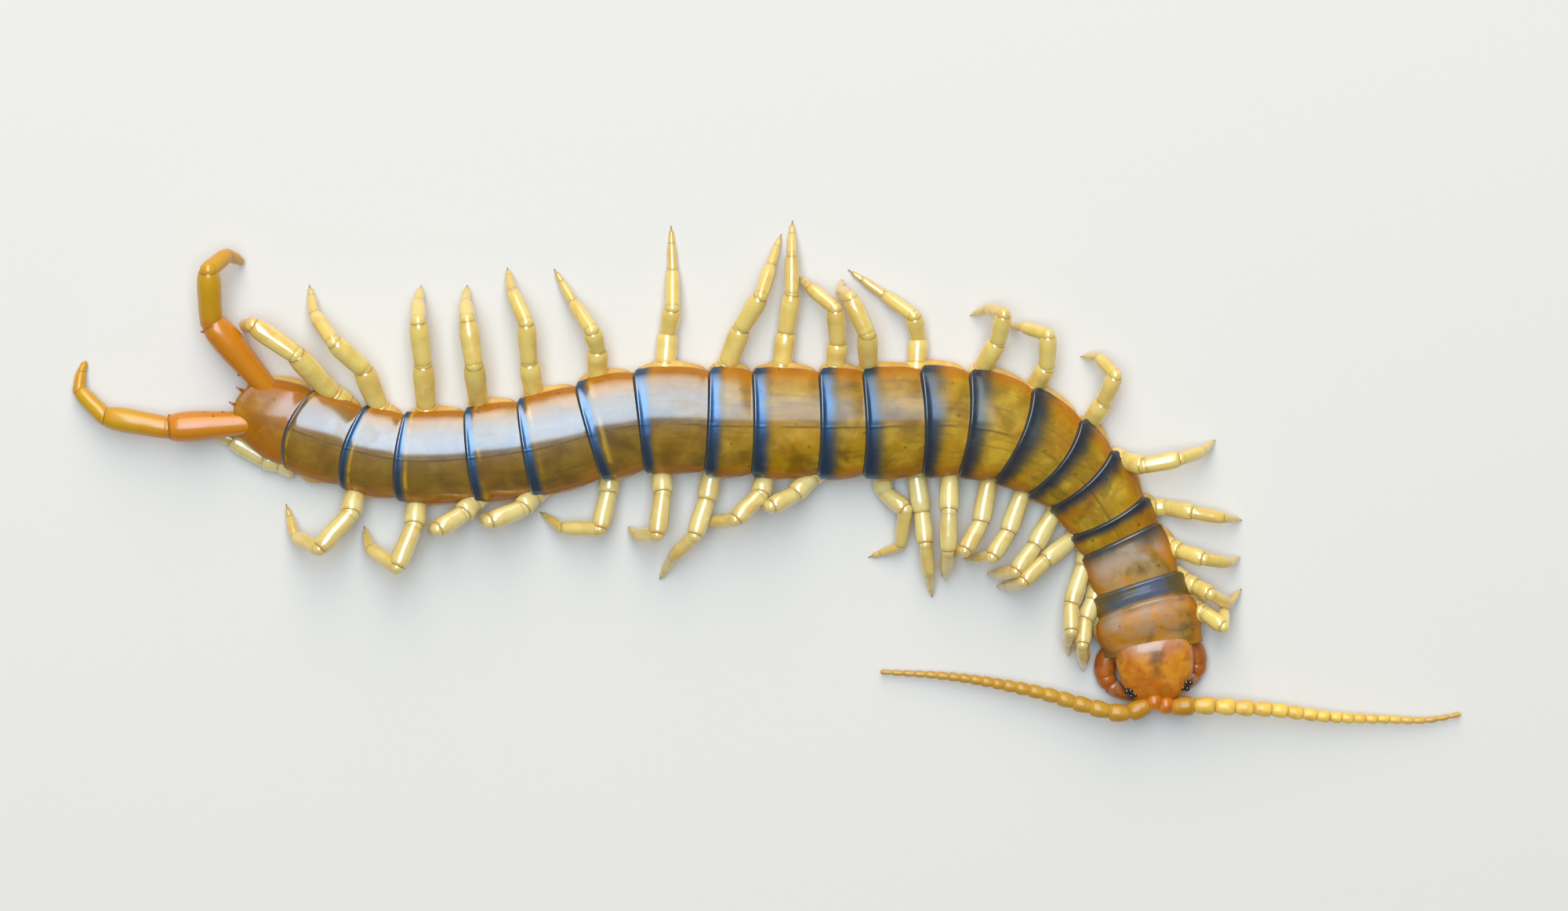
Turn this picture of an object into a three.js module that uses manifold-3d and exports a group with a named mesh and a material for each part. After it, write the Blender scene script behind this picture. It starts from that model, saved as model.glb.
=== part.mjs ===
// Giant centipede at life size, lying on its belly with all its legs spread over the floor.
// Millimetres, +Z up, floor at z = 0. The origin is on the floor under the middle of the whole.
// The body runs along X with the head at +X, turned down towards -Y. The animal's left is at +Y.
import * as THREE from "three";
import { mergeVertices } from "three/addons/utils/BufferGeometryUtils.js";
import Module from "manifold-3d";

const wasm = await Module();
wasm.setup();

// Driving dimensions
const GAP = 0.3;
const SUNK = 0.8;
const SEGMENTS = 21;
const HEAD_LENGTH = 7.9;
const HEAD_TURN = -5;
const BACK_PLATE_LENGTHS = [
  4.0, 2.8, 5.5, 3.1, 5.35, 4.1, 5.4, 5.9, 4.9, 6.7, 5.1,
  7.6, 5.2, 7.8, 5.9, 7.6, 6.4, 8.0, 5.7, 6.5, 6.1,
];
// Width of the back plates at a few segments, and straight between them
const BACK_PLATE_WIDTHS = [
  [0.5, 11.9], [1, 11.9], [2, 10.5], [3.5, 9.6], [5, 9.8], [6, 10.5], [7, 11.4], [8, 12.2],
  [9.5, 12.6], [13, 12.4], [17, 11.0], [19, 9.9], [21, 9.5],
];
const TAIL_WIDTH = 6.6;
const HEIGHT_PER_WIDTH = 0.54;
const PLATE_STEP = 0.35;
const BELLY_STEP = 0.3;
const NECK_DROP = 0.9;

// The middle of the back seen from above, from the front of the head to the end of the last plate
const BODY_LINE = [
  [45.1, -26.6], [43.95, -18.7], [40.25, -7.3], [35.5, 0.05], [27.8, 5.1], [20.4, 6.5],
  [10.5, 6.3], [-2.3, 6.4], [-15.2, 6.5], [-28.4, 3.4], [-42.8, 2.4], [-54.4, 5.7], [-59.9, 8.3],
];

// Walking legs: where they leave the body, and their articles at the size of a middle leg
const LEG_ROOT_OUT = 0.85;
const LEG_ROOT_HEIGHT = 0.31;
const FIRST_LEG_SIZE = 0.72;
const LAST_LEG_SIZE = 1.12;
const FEMUR_LENGTH = 4.9;
const TIBIA_LENGTH = 4.5;
const TARSUS_LENGTH = 4.9;
const LEG_RADII = [1.15, 1.0, 0.81, 0.55, 0.36];
const CLAW_RADIUS = 0.25;
const LEG_STOUTNESS = [0.8, 1.0];
const HIGHEST_KNEE = 6.0;
const LOWEST_KNEE = 1.2;
// Least room between a joint and the fuller part of an article, as a share of the article's radius
const ROOM_AT_JOINTS = 0.9;

// Pose of each walking leg, first pair first: where it leaves the body, as a share of its segment's
// length, then a pair of numbers for each article: its bearing (degrees from +X towards +Y) and its
// reach as seen from above: prefemur, femur, tibia, foot. A last number holds a leg down to a height.
const LEFT_LEGS = [
  [0.51, 351, 1.7, 328, 2.4, 84, 1.4, 78, 0.7],
  [0.65, 338, 2.5, 337, 1.7, 326, 2.7, 39, 2.2],
  [0.51, 342, 2.1, 346, 2.8, 346, 3.0, 8, 1.6],
  [0.48, 2, 2.3, 353, 3.3, 349, 3.6, 343, 2.4],
  [0.81, 354, 3.4, 11, 4.2, 11, 2.8, 30, 1.9],
  [0.68, 60, 4.0, 70, 3.5, 136, 2.5, 189, 2.1],
  [0.95, 61, 3.8, 89, 3.9, 168, 2.9, 196, 1.6],
  [0.81, 63, 5.0, 79, 3.4, 173, 1.7, 209, 2.4],
  [1.04, 86, 3.9, 101, 2.9, 147, 4.1, 146, 5.0],
  [0.84, 93, 5.3, 115, 4.6, 164, 1.1, 81, 1.1],
  [0.61, 84, 3.9, 94, 4.2, 143, 3.8, 144, 1.4],
  [0.56, 82, 5.0, 82, 4.6, 90, 4.4, 89, 3.8],
  [0.64, 70, 5.9, 60, 4.5, 70, 3.4, 70, 3.6],
  [0.59, 85, 4.6, 80, 3.2, 90, 4.1, 92, 5.1],
  [0.6, 88, 4.2, 104, 2.5, 128, 3.6, 122, 4.3],
  [0.67, 97, 4.9, 93, 4.7, 117, 3.8, 105, 2.5],
  [0.7, 94, 6.0, 98, 5.2, 103, 1.6, 87, 1.8],
  [0.59, 92, 6.6, 95, 5.1, 96, 1.8, 81, 1.7],
  [0.5, 109, 6.0, 134, 4.7, 131, 3.7, 103, 3.2],
  [0.37, 128, 8.1, 145, 5.9, 201, 1.2, 253, 1.2],
];
const RIGHT_LEGS = [
  [0.97, 221, 2.6, 259, 1.9, 265, 1.1, 277, 0.9, 1.5],
  [1.1, 245, 3.7, 262, 2.6, 277, 2.3, 270, 1.8],
  [0.9, 250, 5.8, 270, 2.8, 259, 1.9, 279, 2.2],
  [0.77, 215, 4.8, 220, 3.3, 214, 1.8, 203, 1.6],
  [0.79, 237, 5.3, 231, 3.4, 199, 2.2, 207, 1.3],
  [1.15, 248, 6.0, 234, 3.1, 201, 1.9, 200, 1.5],
  [1.15, 258, 6.2, 238, 3.4, 210, 1.6, 168, 1.0],
  [1.15, 268, 5.0, 269, 4.6, 266, 2.8, 270, 1.5],
  [1.15, 279, 5.6, 276, 3.5, 277, 3.8, 278, 3.2],
  [0.67, 273, 3.0, 323, 3.2, 263, 4.5, 203, 4.1],
  [0.89, 223, 4.2, 203, 2.9, 203, 0.7, 218, 0.6],
  [0.73, 254, 3.1, 223, 3.9, 198, 2.8, 178, 1.0],
  [0.76, 258, 4.1, 251, 4.1, 228, 3.9, 243, 3.5],
  [0.68, 274, 3.4, 262, 4.5, 196, 2.5, 150, 1.3],
  [0.76, 265, 2.7, 256, 4.2, 181, 4.4, 151, 3.1],
  [0.86, 229, 3.1, 199, 3.9, 198, 0.8, 204, 0.6],
  [0.87, 228, 2.9, 208, 3.2, 213, 0.8, 217, 0.6],
  [0.72, 264, 3.4, 247, 4.9, 154, 3.7, 110, 2.4],
  [0.68, 258, 3.2, 227, 5.2, 165, 3.1, 109, 3.7],
  [0.5, 169, 5.7, 148, 4.4, 158, 3.2, 178, 4.0, 1.3],
];

// The pair of legs that ends the body: root, bearings and reaches of the articles, and the
// height of each joint from the root to the tip
const END_LEG_LEFT = {
  root: [2.7, 1.3],
  pose: [128, 10.9, 90, 6.2, 36, 2.4, 320, 1.4, 300, 0.6],
  heights: [2.9, 4.7, 7.0, 4.2, 1.7, 0.25],
};
const END_LEG_RIGHT = {
  root: [1.0, -2.0],
  pose: [183, 10.2, 171, 7.4, 137, 4.2, 84, 2.0, 66, 1.2],
  heights: [3.2, 4.0, 3.1, 1.9, 0.9, 0.25],
};
const END_LEG_RADII = [1.6, 1.38, 0.98, 0.68, 0.45];
const END_LEG_SPINES = 7;
const SPINE_LENGTH = 1.1;
// How far left of the body line each tail point starts and ends
const TAIL_POINTS = [[0.9, 1.5], [-0.6, -0.45]];

// Feelers: the line of each from the head to the tip, with its height over the floor
const FEELER_LEFT = [[46.3, -26.9, 3.7], [49.6, -26.7, 3.7], [54.2, -27.0, 3.4], [58.6, -27.4, 3.0],
  [64.8, -28.3, 2.4], [71.0, -28.7, 1.8], [76.0, -28.9, 1.3], [80.0, -28.3, 0.9]];
const FEELER_RIGHT = [[43.7, -26.7, 3.7], [40.7, -27.6, 3.6], [36.4, -26.8, 3.2], [32.0, -25.6, 2.7],
  [27.6, -24.7, 2.2], [23.2, -24.0, 1.7], [19.1, -23.6, 1.3], [12.8, -23.3, 0.9]];
const FEELER_ARTICLES = 20;
const FEELER_ARTICLE_LENGTHS = [2.4, 1.3];
const FEELER_RADII = [1.06, 0.27];

// Head, in its own frame: x forward from the rear edge, y to the animal's left
const HEAD_WIDTH = 8.9;
const HEAD_TOP = 5.2;
const HEAD_BOTTOM = 2.5;
const EYE_RADIUS = 0.36;
const EYE_PLACES = [[5.75, 3.72], [6.4, 3.28], [5.7, 3.25], [6.3, 2.8]];
const FANG_PLATE_LENGTH = 4.1;
const FANG_PLATE_WIDTH = 9.2;
const FANG_PLATE_HEIGHT = 2.1;
const FANG_PATH = [[0.9, 3.4], [2.2, 4.9], [3.9, 5.35], [5.4, 4.75], [6.5, 3.4], [7.0, 2.0], [6.9, 0.75]];
const FANG_RADII = [1.15, 1.3, 1.25, 1.1, 0.85, 0.6, 0.25];
const FANG_HEIGHT = 1.35;
const FANG_SHIFT = -0.5;

const MATERIALS = {
  trunk: new THREE.MeshStandardMaterial({ color: 0xa07614, roughness: 0.3, metalness: 0 }),
  head: new THREE.MeshStandardMaterial({ color: 0xbe5f14, roughness: 0.3, metalness: 0 }),
  fang: new THREE.MeshStandardMaterial({ color: 0xb8641c, roughness: 0.25, metalness: 0 }),
  leg: new THREE.MeshStandardMaterial({ color: 0xebcd6e, roughness: 0.35, metalness: 0 }),
  endLeg: new THREE.MeshStandardMaterial({ color: 0xcd960c, roughness: 0.3, metalness: 0 }),
  feeler: new THREE.MeshStandardMaterial({ color: 0xe1a532, roughness: 0.4, metalness: 0 }),
};

const UP = new THREE.Vector3(0, 0, 1);
const radians = THREE.MathUtils.degToRad;
const mix = THREE.MathUtils.lerp;
const clamp = THREE.MathUtils.clamp;

// A closed skin over rings of points that all run the same way round, with flat ends
function loft(rings) {
  const count = rings[0].length;
  const points = rings.flat();
  const faces = [];
  for (let i = 0; i + 1 < rings.length; i += 1) {
    for (let j = 0; j < count; j += 1) {
      const next = (j + 1) % count;
      const [a, b] = [i * count + j, i * count + next];
      faces.push(a, b, b + count, a, b + count, a + count);
    }
  }
  for (const [ring, first, turn] of [[rings[0], 0, 1], [rings.at(-1), (rings.length - 1) * count, 0]]) {
    const middle = points.length;
    points.push(ring.reduce((sum, p) => sum.add(p), new THREE.Vector3()).divideScalar(count));
    for (let j = 0; j < count; j += 1) {
      const edge = [first + j, first + ((j + 1) % count)];
      faces.push(edge[turn], edge[1 - turn], middle);
    }
  }
  return outward(points, faces);
}

// Turns the faces round where they would close over a negative volume
function outward(points, faces) {
  let volume = 0;
  for (let i = 0; i < faces.length; i += 3) {
    const [a, b, c] = [points[faces[i]], points[faces[i + 1]], points[faces[i + 2]]];
    volume += a.dot(new THREE.Vector3().crossVectors(b, c));
  }
  const geometry = new THREE.BufferGeometry().setFromPoints(points);
  geometry.setIndex(volume > 0 ? faces : faces.toReversed());
  return solid(geometry);
}

function solid(geometry) {
  const bare = geometry.clone();
  bare.deleteAttribute("normal");
  bare.deleteAttribute("uv");
  const merged = mergeVertices(bare, 1e-5);
  return new wasm.Manifold(new wasm.Mesh({
    numProp: 3,
    vertProperties: new Float32Array(merged.attributes.position.array),
    triVerts: new Uint32Array(merged.index.array),
  }));
}

function joined(pieces) {
  return pieces.reduce((sum, piece) => sum.add(piece));
}

// The largest closed body of a solid, as a named mesh
function piece(name, shape, material) {
  const bodies = shape.decompose().sort((a, b) => b.volume() - a.volume());
  const mesh = bodies[0].getMesh();
  const geometry = new THREE.BufferGeometry();
  geometry.setAttribute("position", new THREE.BufferAttribute(new Float32Array(mesh.vertProperties), 3));
  geometry.setIndex(new THREE.BufferAttribute(new Uint32Array(mesh.triVerts), 1));
  geometry.computeVertexNormals();
  const made = new THREE.Mesh(geometry, material);
  made.name = name;
  return made;
}

// Everything above the floor
const aboveFloor = solid(new THREE.BoxGeometry(400, 400, 100).translate(0, 0, 50));

// Value at `at` on a line through [place, value] pairs
function along(pairs, at) {
  const last = pairs.length - 1;
  const i = clamp(pairs.findIndex(([place]) => place > at) - 1, 0, last - 1);
  const k = at >= pairs[last][0] ? last - 1 : i;
  const share = clamp((at - pairs[k][0]) / (pairs[k + 1][0] - pairs[k][0]), 0, 1);
  return mix(pairs[k][1], pairs[k + 1][1], share);
}

function smoothLine(points) {
  return new THREE.CatmullRomCurve3(points.map((point) => new THREE.Vector3(...point)), false, "centripetal");
}

// Body line by distance from the front of the head
const bodyCurve = smoothLine(BODY_LINE.map(([x, y]) => [x, y, 0]));
bodyCurve.arcLengthDivisions = 1200;
const bodyCurveLength = bodyCurve.getLength();

function plateStart(segment) {
  return HEAD_LENGTH + BACK_PLATE_LENGTHS.slice(0, segment - 1).reduce((sum, length) => sum + length, 0);
}

// Point of the body at a distance from the front of the head, out to the left and up
function bodyPoint(distance, left, up) {
  const share = clamp(distance / bodyCurveLength, 0, 1);
  const tangent = bodyCurve.getTangentAt(share);
  const toLeft = new THREE.Vector3(tangent.y, -tangent.x, 0);
  const beyond = Math.max(distance - bodyCurveLength, 0);
  return bodyCurve.getPointAt(share).addScaledVector(tangent, beyond)
    .addScaledVector(toLeft, left).addScaledVector(UP, up);
}

// Half outline of a segment across the body, from the middle of the back to the belly plate,
// as shares of the half width and the height: arched back, plate edge, soft flank, belly
const HALF_SECTION = [
  [0.34, 0.985], [0.64, 0.925], [0.86, 0.8], [0.97, 0.67], [1.0, 0.58],
  [0.97, 0.5], [1.06, 0.4], [1.05, 0.24], [0.8, 0.06], [0.5, 0.0],
];

function bodyRing(distance, halfWidth, top, bottom, grow) {
  const half = HALF_SECTION.map(([out, up]) =>
    [out * halfWidth + grow, mix(bottom, top, up) + grow * (2 * up - 1)]);
  const left = half.map(([out, up]) => bodyPoint(distance, out, up));
  const right = half.map(([out, up]) => bodyPoint(distance, -out, up)).reverse();
  return [bodyPoint(distance, 0, top + grow), ...left, ...right];
}

// Rings of one segment: [share of its length, share of its width, plate step taken, belly step taken]
const SEGMENT_RINGS = [
  [0.0, 0.93, 1, 1],
  [0.16, 0.975, 0.35, 0],
  [0.55, 1.0, 0.1, 0],
  [0.86, 1.0, 0, 0],
  [1.0, 0.965, 0, 1],
];

function segmentRings(segment, startGap, grow) {
  const start = plateStart(segment);
  const length = BACK_PLATE_LENGTHS[segment - 1];
  return SEGMENT_RINGS.map(([share, wide, plateStep, bellyStep], i) => {
    const width = along(BACK_PLATE_WIDTHS, segment + share - 0.5);
    const taper = segment === SEGMENTS ? mix(1, TAIL_WIDTH / width, share ** 2) : 1;
    const distance = start + share * length + (i === 0 ? startGap : 0);
    const neck = segment === 1 ? NECK_DROP * (1 - share) ** 2 : 0;
    const top = width * HEIGHT_PER_WIDTH * mix(1, taper, 0.6) - plateStep * PLATE_STEP - neck;
    const wider = grow > 0 ? 1 : wide;
    return bodyRing(distance, 0.5 * width * wider * taper, top, grow > 0 ? 0 : bellyStep * BELLY_STEP, grow);
  });
}

// Room that the trunk takes with its gap, which the legs are cut clear of
function trunkRoom() {
  const rings = [];
  for (let segment = 1; segment <= SEGMENTS; segment += 1) {
    rings.push(...segmentRings(segment, segment === 1 ? -GAP / 2 : 0, GAP).slice(0, 4));
  }
  const tail = along(BACK_PLATE_WIDTHS, SEGMENTS) * HEIGHT_PER_WIDTH * mix(1, TAIL_WIDTH / 9.5, 0.6);
  rings.push(bodyRing(plateStart(SEGMENTS + 1) + GAP, 0.5 * TAIL_WIDTH, tail, 0, GAP));
  return loft(rings);
}
const room = trunkRoom();

// Trunk from one segment to another, each back plate stepping up over the one behind it
function trunkLength(first, last) {
  const rings = [];
  for (let segment = first; segment <= last; segment += 1) {
    const step = segment === first ? (first === 1 ? GAP / 2 : GAP) : 0.12;
    rings.push(...segmentRings(segment, step, 0));
  }
  return loft(rings);
}

// A limb of round articles: a ring at every joint, and fuller rings between them where they have room
function limb(joints, radii, tipRadius, sides, shares, rootShare = 0.9) {
  const stations = [{ at: joints[0], radius: radii[0] * rootShare }];
  for (let i = 0; i + 1 < joints.length; i += 1) {
    const length = joints[i].distanceTo(joints[i + 1]);
    for (const [share, full] of shares[Math.min(i, shares.length - 1)]) {
      const space = Math.min(share, 1 - share) * length;
      if (space < radii[i] * ROOM_AT_JOINTS) continue;
      stations.push({ at: joints[i].clone().lerp(joints[i + 1], share), radius: radii[i] * full });
    }
    const isTip = i + 2 === joints.length;
    stations.push({ at: joints[i + 1], radius: isTip ? tipRadius : Math.min(radii[i], radii[i + 1]) * 0.9 });
  }
  return loft(ringsAlong(stations, sides));
}

// Rings square to a line of stations, carried along it without twist
function ringsAlong(stations, sides) {
  const round = 1 / Math.cos(Math.PI / sides) ** 0.5;
  let side = new THREE.Vector3();
  return stations.map(({ at, radius }, i) => {
    const before = at.clone().sub(stations[Math.max(i - 1, 0)].at).normalize();
    const after = stations[Math.min(i + 1, stations.length - 1)].at.clone().sub(at).normalize();
    const tangent = before.add(after).normalize();
    if (i === 0) side.crossVectors(tangent, Math.abs(tangent.z) > 0.9 ? new THREE.Vector3(1, 0, 0) : UP);
    side = side.clone().addScaledVector(tangent, -side.dot(tangent)).normalize();
    const other = new THREE.Vector3().crossVectors(tangent, side);
    return Array.from({ length: sides }, (_, j) => {
      const turn = (2 * Math.PI * j) / sides;
      return at.clone().addScaledVector(side, Math.cos(turn) * radius * round)
        .addScaledVector(other, Math.sin(turn) * radius * round);
    });
  });
}

// Joints reached from a root by bearings and reaches, at given heights
function jointsFrom(root, pose, heights) {
  const joints = [root.clone().setZ(heights[0])];
  for (let i = 0; i + 1 < pose.length; i += 2) {
    const turn = radians(pose[i]);
    const next = joints.at(-1).clone();
    next.x += Math.cos(turn) * pose[i + 1];
    next.y += Math.sin(turn) * pose[i + 1];
    joints.push(next.setZ(heights[joints.length]));
  }
  return joints;
}

// How far an article climbs when only part of its length shows from above
function climb(length, reach) {
  return Math.sqrt(Math.max(length ** 2 - reach ** 2, 0));
}

function walkingLeg(segment, side, [share, ...pose]) {
  const age = (segment - 1) / (SEGMENTS - 2);
  const size = mix(FIRST_LEG_SIZE, LAST_LEG_SIZE, age);
  const width = along(BACK_PLATE_WIDTHS, segment);
  const highest = pose[8] ?? HIGHEST_KNEE;
  const start = plateStart(segment) + share * BACK_PLATE_LENGTHS[segment - 1];
  const root = bodyPoint(start, side * LEG_ROOT_OUT * width * 0.5, 0);
  const ankle = clamp(climb(TARSUS_LENGTH * size, pose[7]), 1.0, Math.min(2.8, highest));
  const femurEnd = clamp(ankle + climb(TIBIA_LENGTH * size, pose[5]), Math.min(3.0, highest), highest);
  const lowest = Math.max(femurEnd - 1.6, LOWEST_KNEE);
  const knee = clamp(femurEnd - climb(FEMUR_LENGTH * size, pose[3]), lowest, femurEnd);
  const rootHeight = LEG_ROOT_HEIGHT * width * HEIGHT_PER_WIDTH;
  const foot = [pose[6], pose[7] * 0.6, pose[6], pose[7] * 0.4];
  const heights = [rootHeight, knee, femurEnd, ankle, 0.3 * ankle + 0.15, 0.12];
  const joints = jointsFrom(root, [...pose.slice(0, 6), ...foot], heights);
  const stout = mix(...LEG_STOUTNESS, age);
  const shares = [[[0.75, 1.02]], [[0.25, 1], [0.8, 1.04]], [[0.4, 1]], [], []];
  const leg = limb(joints, LEG_RADII.map((r) => r * stout), CLAW_RADIUS, 6, shares);
  return leg.subtract(room).intersect(aboveFloor);
}

function cone(base, tip, radius, sides) {
  return loft(ringsAlong([{ at: base, radius }, { at: tip, radius: radius * 0.25 }], sides));
}

function endLeg({ root, pose, heights }, side) {
  const from = bodyPoint(plateStart(SEGMENTS + 1), 0, 0);
  from.x += root[0];
  from.y += root[1];
  const joints = jointsFrom(from, pose, heights);
  const shares = [
    [[0.25, 0.85], [0.5, 1.04], [0.85, 1.04]], [[0.25, 1], [0.8, 1.04]], [[0.25, 1], [0.8, 1]], [[0.5, 1]],
  ];
  const leg = limb(joints, END_LEG_RADII, CLAW_RADIUS, 8, shares, 0.6);
  const thigh = joints[1].clone().sub(joints[0]).normalize();
  const inward = new THREE.Vector3().crossVectors(thigh, UP).multiplyScalar(-side);
  const spines = Array.from({ length: END_LEG_SPINES }, (_, i) => {
    const share = 0.36 + (0.6 * i) / (END_LEG_SPINES - 1);
    const lean = inward.clone().addScaledVector(UP, i % 2 ? 0.9 : 0.25).normalize();
    const base = joints[0].clone().lerp(joints[1], share).addScaledVector(lean, END_LEG_RADII[0] * 0.65);
    const tip = base.clone().addScaledVector(lean, SPINE_LENGTH).addScaledVector(thigh, SPINE_LENGTH * 0.5);
    return cone(base, tip, 0.3, 5);
  });
  return joined([leg, ...spines]).subtract(room).intersect(aboveFloor);
}

// The pointed processes at the tail end, beside the roots of the end legs
function tailPoints() {
  const rear = plateStart(SEGMENTS + 1);
  return TAIL_POINTS.map(([base, tip]) => cone(
    bodyPoint(rear - 1.6, base, 2.9),
    bodyPoint(rear + 2.1, tip, 4.3),
    0.62,
    7,
  ));
}

function feeler(line) {
  const curve = smoothLine(line);
  const lengths = Array.from({ length: FEELER_ARTICLES }, (_, i) =>
    mix(...FEELER_ARTICLE_LENGTHS, Math.min(i / 9, 1)));
  const whole = lengths.reduce((sum, length) => sum + length, 0);
  let reached = 0;
  const joints = [curve.getPointAt(0)];
  for (const length of lengths) {
    reached += length;
    joints.push(curve.getPointAt(Math.min(reached / whole, 1)));
  }
  const radii = lengths.map((_, i) => mix(...FEELER_RADII, (i / (FEELER_ARTICLES - 1)) ** 0.8));
  return limb(joints, radii, FEELER_RADII[1] * 0.8, 6, [[[0.6, 1.06]]]);
}

// Section of the head at a distance forward of its rear edge
function headRing(forward, grow) {
  const share = forward / HEAD_LENGTH;
  const wide = along([[0, 0.96], [0.35, 1], [0.7, 0.9], [0.88, 0.66], [1, 0.3]], share);
  const halfWidth = 0.5 * HEAD_WIDTH * wide + grow;
  const top = HEAD_TOP * along([[0, 1], [0.45, 1], [0.8, 0.88], [1, 0.72]], share) + grow;
  const bottom = HEAD_BOTTOM * along([[0, 1], [0.6, 0.98], [1, 0.95]], share) - grow;
  const middle = mix(bottom, top, 0.4);
  return Array.from({ length: 18 }, (_, j) => {
    const turn = (2 * Math.PI * j) / 18;
    const [c, s] = [Math.cos(turn), Math.sin(turn)];
    const up = s > 0 ? top - middle : middle - bottom;
    return new THREE.Vector3(forward, Math.sign(c) * Math.abs(c) ** 0.75 * halfWidth, middle + s * up);
  });
}

function headCapsule(grow) {
  return loft([-SUNK, 0.8, 2.6, 4.4, 5.8, 6.9, 7.6, HEAD_LENGTH + grow].map((x) => headRing(x, grow)));
}

function ball(x, y, z, radius, stretch, around, down) {
  const shape = new THREE.SphereGeometry(radius, around, down);
  shape.scale(...stretch);
  return solid(shape.translate(x, y, z));
}

function head() {
  const eyes = [1, -1].flatMap((side) =>
    EYE_PLACES.map(([x, y], i) => ball(x, side * y, i % 2 ? 3.75 : 4.0, EYE_RADIUS, [1, 1, 1], 7, 5)));
  const lip = ball(6.9, 0, 2.5, 0.8, [0.9, 1.5, 0.7], 8, 6);
  const jaws = [1, -1].map((side) => ball(5.8, side * 1.3, 2.3, 1.0, [1.3, 0.8, 0.55], 8, 6));
  return joined([headCapsule(0), lip, ...jaws, ...eyes]);
}

// The plate under the head that carries the fangs, with a row of teeth on each half of its edge
function fangPlate(grow) {
  const outline = (forward, wide) => {
    const half = 0.5 * FANG_PLATE_WIDTH * wide + grow;
    const top = FANG_PLATE_HEIGHT + grow;
    return [[half - 0.6, -grow], [half, 0.7], [half - 0.3, 1.5], [half - 1.5, top],
      [-half + 1.5, top], [-half + 0.3, 1.5], [-half, 0.7], [-half + 0.6, -grow]]
      .map(([y, z]) => new THREE.Vector3(forward, y, z));
  };
  const plate = loft([outline(-SUNK, 0.92), outline(1.4, 1), outline(3.0, 0.84),
    outline(FANG_PLATE_LENGTH + grow, 0.46)]);
  if (grow > 0) return plate;
  const teeth = [-1.55, -1.1, -0.65, 0.65, 1.1, 1.55].map((y) => cone(
    new THREE.Vector3(FANG_PLATE_LENGTH - 0.4, y, 1.1),
    new THREE.Vector3(FANG_PLATE_LENGTH + 0.65, y * 0.95, 1.2),
    0.24,
    5,
  ));
  return joined([plate, ...teeth]);
}

function fang(side) {
  const stations = FANG_PATH.map(([x, y], i) => ({
    at: new THREE.Vector3(x, side * y + FANG_SHIFT, FANG_HEIGHT),
    radius: FANG_RADII[i],
  }));
  const shape = loft(ringsAlong(stations, 10)).subtract(fangPlate(GAP));
  return shape.subtract(headCapsule(GAP)).intersect(aboveFloor);
}

const centipede = new THREE.Group();

for (let first = 1; first <= SEGMENTS; first += 3) {
  const last = first + 2;
  const ends = last === SEGMENTS ? tailPoints() : [];
  const shape = joined([trunkLength(first, last), ...ends]);
  centipede.add(piece(`trunk_${first}_${last}`, shape, MATERIALS.trunk));
}

for (const [label, side, poses] of [["left", 1, LEFT_LEGS], ["right", -1, RIGHT_LEGS]]) {
  poses.forEach((pose, i) => {
    centipede.add(piece(`leg_${label}_${i + 1}`, walkingLeg(i + 1, side, pose), MATERIALS.leg));
  });
}

centipede.add(piece("end_leg_left", endLeg(END_LEG_LEFT, 1), MATERIALS.endLeg));
centipede.add(piece("end_leg_right", endLeg(END_LEG_RIGHT, -1), MATERIALS.endLeg));

// The head group turns about the neck, and its pieces are cut clear of the trunk behind them
const headGroup = new THREE.Group();
const forward = bodyCurve.getTangentAt(HEAD_LENGTH / bodyCurveLength).negate();
headGroup.position.copy(bodyPoint(HEAD_LENGTH, 0, 0));
headGroup.rotation.z = Math.atan2(forward.y, forward.x) + radians(HEAD_TURN);
headGroup.updateMatrixWorld(true);
const trunkBehind = room.transform(headGroup.matrixWorld.clone().invert().elements);
headGroup.add(piece("head", head().subtract(trunkBehind), MATERIALS.head));
headGroup.add(piece("fang_plate", fangPlate(0).subtract(trunkBehind), MATERIALS.fang));
headGroup.add(piece("fang_left", fang(1).subtract(trunkBehind), MATERIALS.fang));
headGroup.add(piece("fang_right", fang(-1).subtract(trunkBehind), MATERIALS.fang));
centipede.add(headGroup);

// The feelers start just clear of the head
const headRoom = headCapsule(GAP).transform(headGroup.matrixWorld.elements);
centipede.add(piece("feeler_left", feeler(FEELER_LEFT).subtract(headRoom), MATERIALS.feeler));
centipede.add(piece("feeler_right", feeler(FEELER_RIGHT).subtract(headRoom), MATERIALS.feeler));

export default centipede;
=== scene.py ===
"""The finish of a giant centipede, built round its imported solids.

Blender units are metres, +Z is up and the floor is at z = 0. Sizes below are in millimetres, as in
the solids, and MM brings them to metres. The head is at +X, and the animal's left is at +Y.
"""

import math

import bpy
import numpy as np
from bpy.props import FloatProperty, FloatVectorProperty, IntProperty, PointerProperty
from mathutils import Matrix, Vector


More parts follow.
